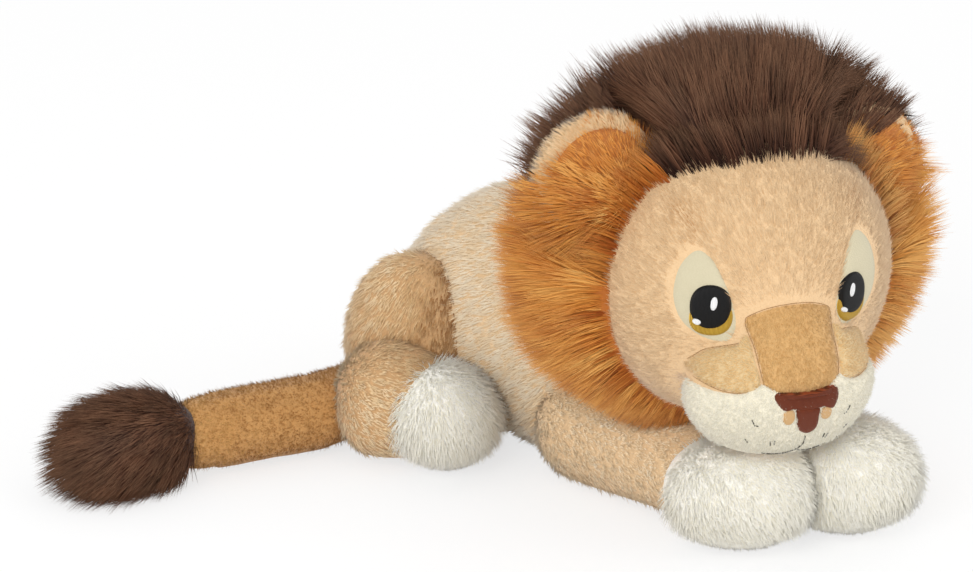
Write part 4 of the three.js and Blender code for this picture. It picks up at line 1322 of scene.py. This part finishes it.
# None under an ear but near its root, where the side mane begins
under_ear = (beside_ears(roots, 24, 25) > 0.5) & (roots[:, 1] < -50)
for hub, back, lining, outwards in ears.values():
    under_ear &= (roots - hub) @ outwards > -6
roots, normals = roots[~under_ear], normals[~under_ear]
is_side = at_side(roots)
source = np.array([0, -118.0, 92.0])
crown = np.nonzero(~is_side)[0]
for number, part in enumerate(np.array_split(crown, 1 + len(crown) // STRANDS_TO_A_PIECE)):
    x, y, z = roots[part].T
    nape = np.clip((-30 - x) / 25, 0, 1) * np.clip((y + 70) / 20, 0, 1)
    over_left = np.clip((x - 38) / 20, 0, 1) * np.clip((z - 118) / 20, 0, 1)
    long_pile("crown_pile_%d" % number, brown_pile, "head", "brown_pile", roots[part], normals[part],
              source, 26, 0.36, 0.05, clump=30, pull=0.42, width=0.42,
              reach=1 + 0.3 * nape - 0.3 * over_left)
for name, side in (("left", 1), ("right", -1)):
    part = np.nonzero(is_side & (side * roots[:, 0] > 0))[0]
    for number, share in enumerate(np.array_split(part, 1 + len(part) // STRANDS_TO_A_PIECE)):
        low = np.clip((100 - roots[share, 2]) / 40, 0, 1)
        chin = np.clip((76 - roots[share, 2]) / 25, 0, 1)
        rise = 0.4 + 0.7 * beside_ears(roots[share], 25, 40)[:, None]
        piece = long_pile("side_mane_pile_%s_%d" % (name, number), orange_pile, "head", "orange_pile",
                          roots[share], normals[share], source, 22, rise, 0.12,
                          reach=1 - 0.25 * low * (side > 0) - 0.5 * chin * (side < 0),
                          tone=0.54 + 0.25 * (side > 0))
        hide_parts("side_mane_" + name)
    hub, back, lining, outwards = ears[name]
    inner, inner_normals = Ground(lining, back).roots(2.2, rng)
    front = inner_normals[:, 1] < (0.1 if side < 0 else 0.7)
    front &= Ground(lining).height(inner) > -0.5
    q = inner - hub
    up_ear = q @ outwards / 22
    front &= (up_ear < 0.75) | (side > 0)
    inner, inner_normals, q, up_ear = inner[front], inner_normals[front], q[front], up_ear[front]
    away_from_crown = q @ np.array([side * abs(outwards[2]), 0, -abs(outwards[0])]) / 22
    reach = np.clip(0.85 - 0.45 * up_ear + 0.5 * away_from_crown, 0.35, 1.5)
    reach *= 0.65 if side > 0 else 1
    # The crown's brown pile grows on over the upper half of the left ear
    brown = (side > 0) & (q[:, 2] > 0.4 * q[:, 0] + 9)
    for title, slot, finish, some, reaches in (
        ("ear_lining_pile_", "orange_pile", orange_pile, ~brown, reach[~brown]),
        ("ear_crown_pile_", "brown_pile", brown_pile, brown, 0.85),
    ):
        if some.any():
            long_pile(title + name, finish, "ear_" + name, slot, inner[some], inner_normals[some],
                      source, 16, 0.5, 0.05, clump=16, reach=reaches)

# The crown's edge falls over the top of the left ear
hub = ears["left"][0]
near = (roots[:, 0] > 22) & (roots[:, 1] < -52) & (roots[:, 2] > 146) & ~is_side
near &= np.hypot(roots[:, 0] - hub[0], roots[:, 2] - hub[2]) < 40
over = np.repeat(np.nonzero(near)[0], 2)
fall = np.array([0.85, -0.2, 0.7])
long_pile("crown_over_ear", brown_pile, "head", "brown_pile", roots[over], normals[over],
          roots[over] - fall, 20, 0.3, 0.1, stray=0.2)

# The tuft stands out like a brush: along the tail, and fanned a little by the core's own form
roots, normals = Ground(tuft_core).roots(2.6, rng)
from_tail = np.clip((roots - tail_end) @ tail_way / 40, 0, 1)[:, None]
n = len(roots)
ways = unit(tail_way + (0.75 - 0.35 * from_tail) * normals + 0.16 * rng.normal(size=roots.shape))
heads = clumped(roots, 22, rng)
own, shared = rng.normal(0, 0.08, n), rng.normal(0, 0.12, n)[heads]
tones = 0.5 + 0.14 * patchy(roots, 12, 9) + own + shared
lengths = (15 + 6 * from_tail[:, 0]) * rng.uniform(0.65, 1.1, n)
pile("tuft_pile", brown_pile, "tail", "brown_pile", roots - 1.5 * normals, normals, ways, lengths,
     0.4 * rng.uniform(0.7, 1.3, n), tones, heads, 0.35, bend=-0.16, joints=2)
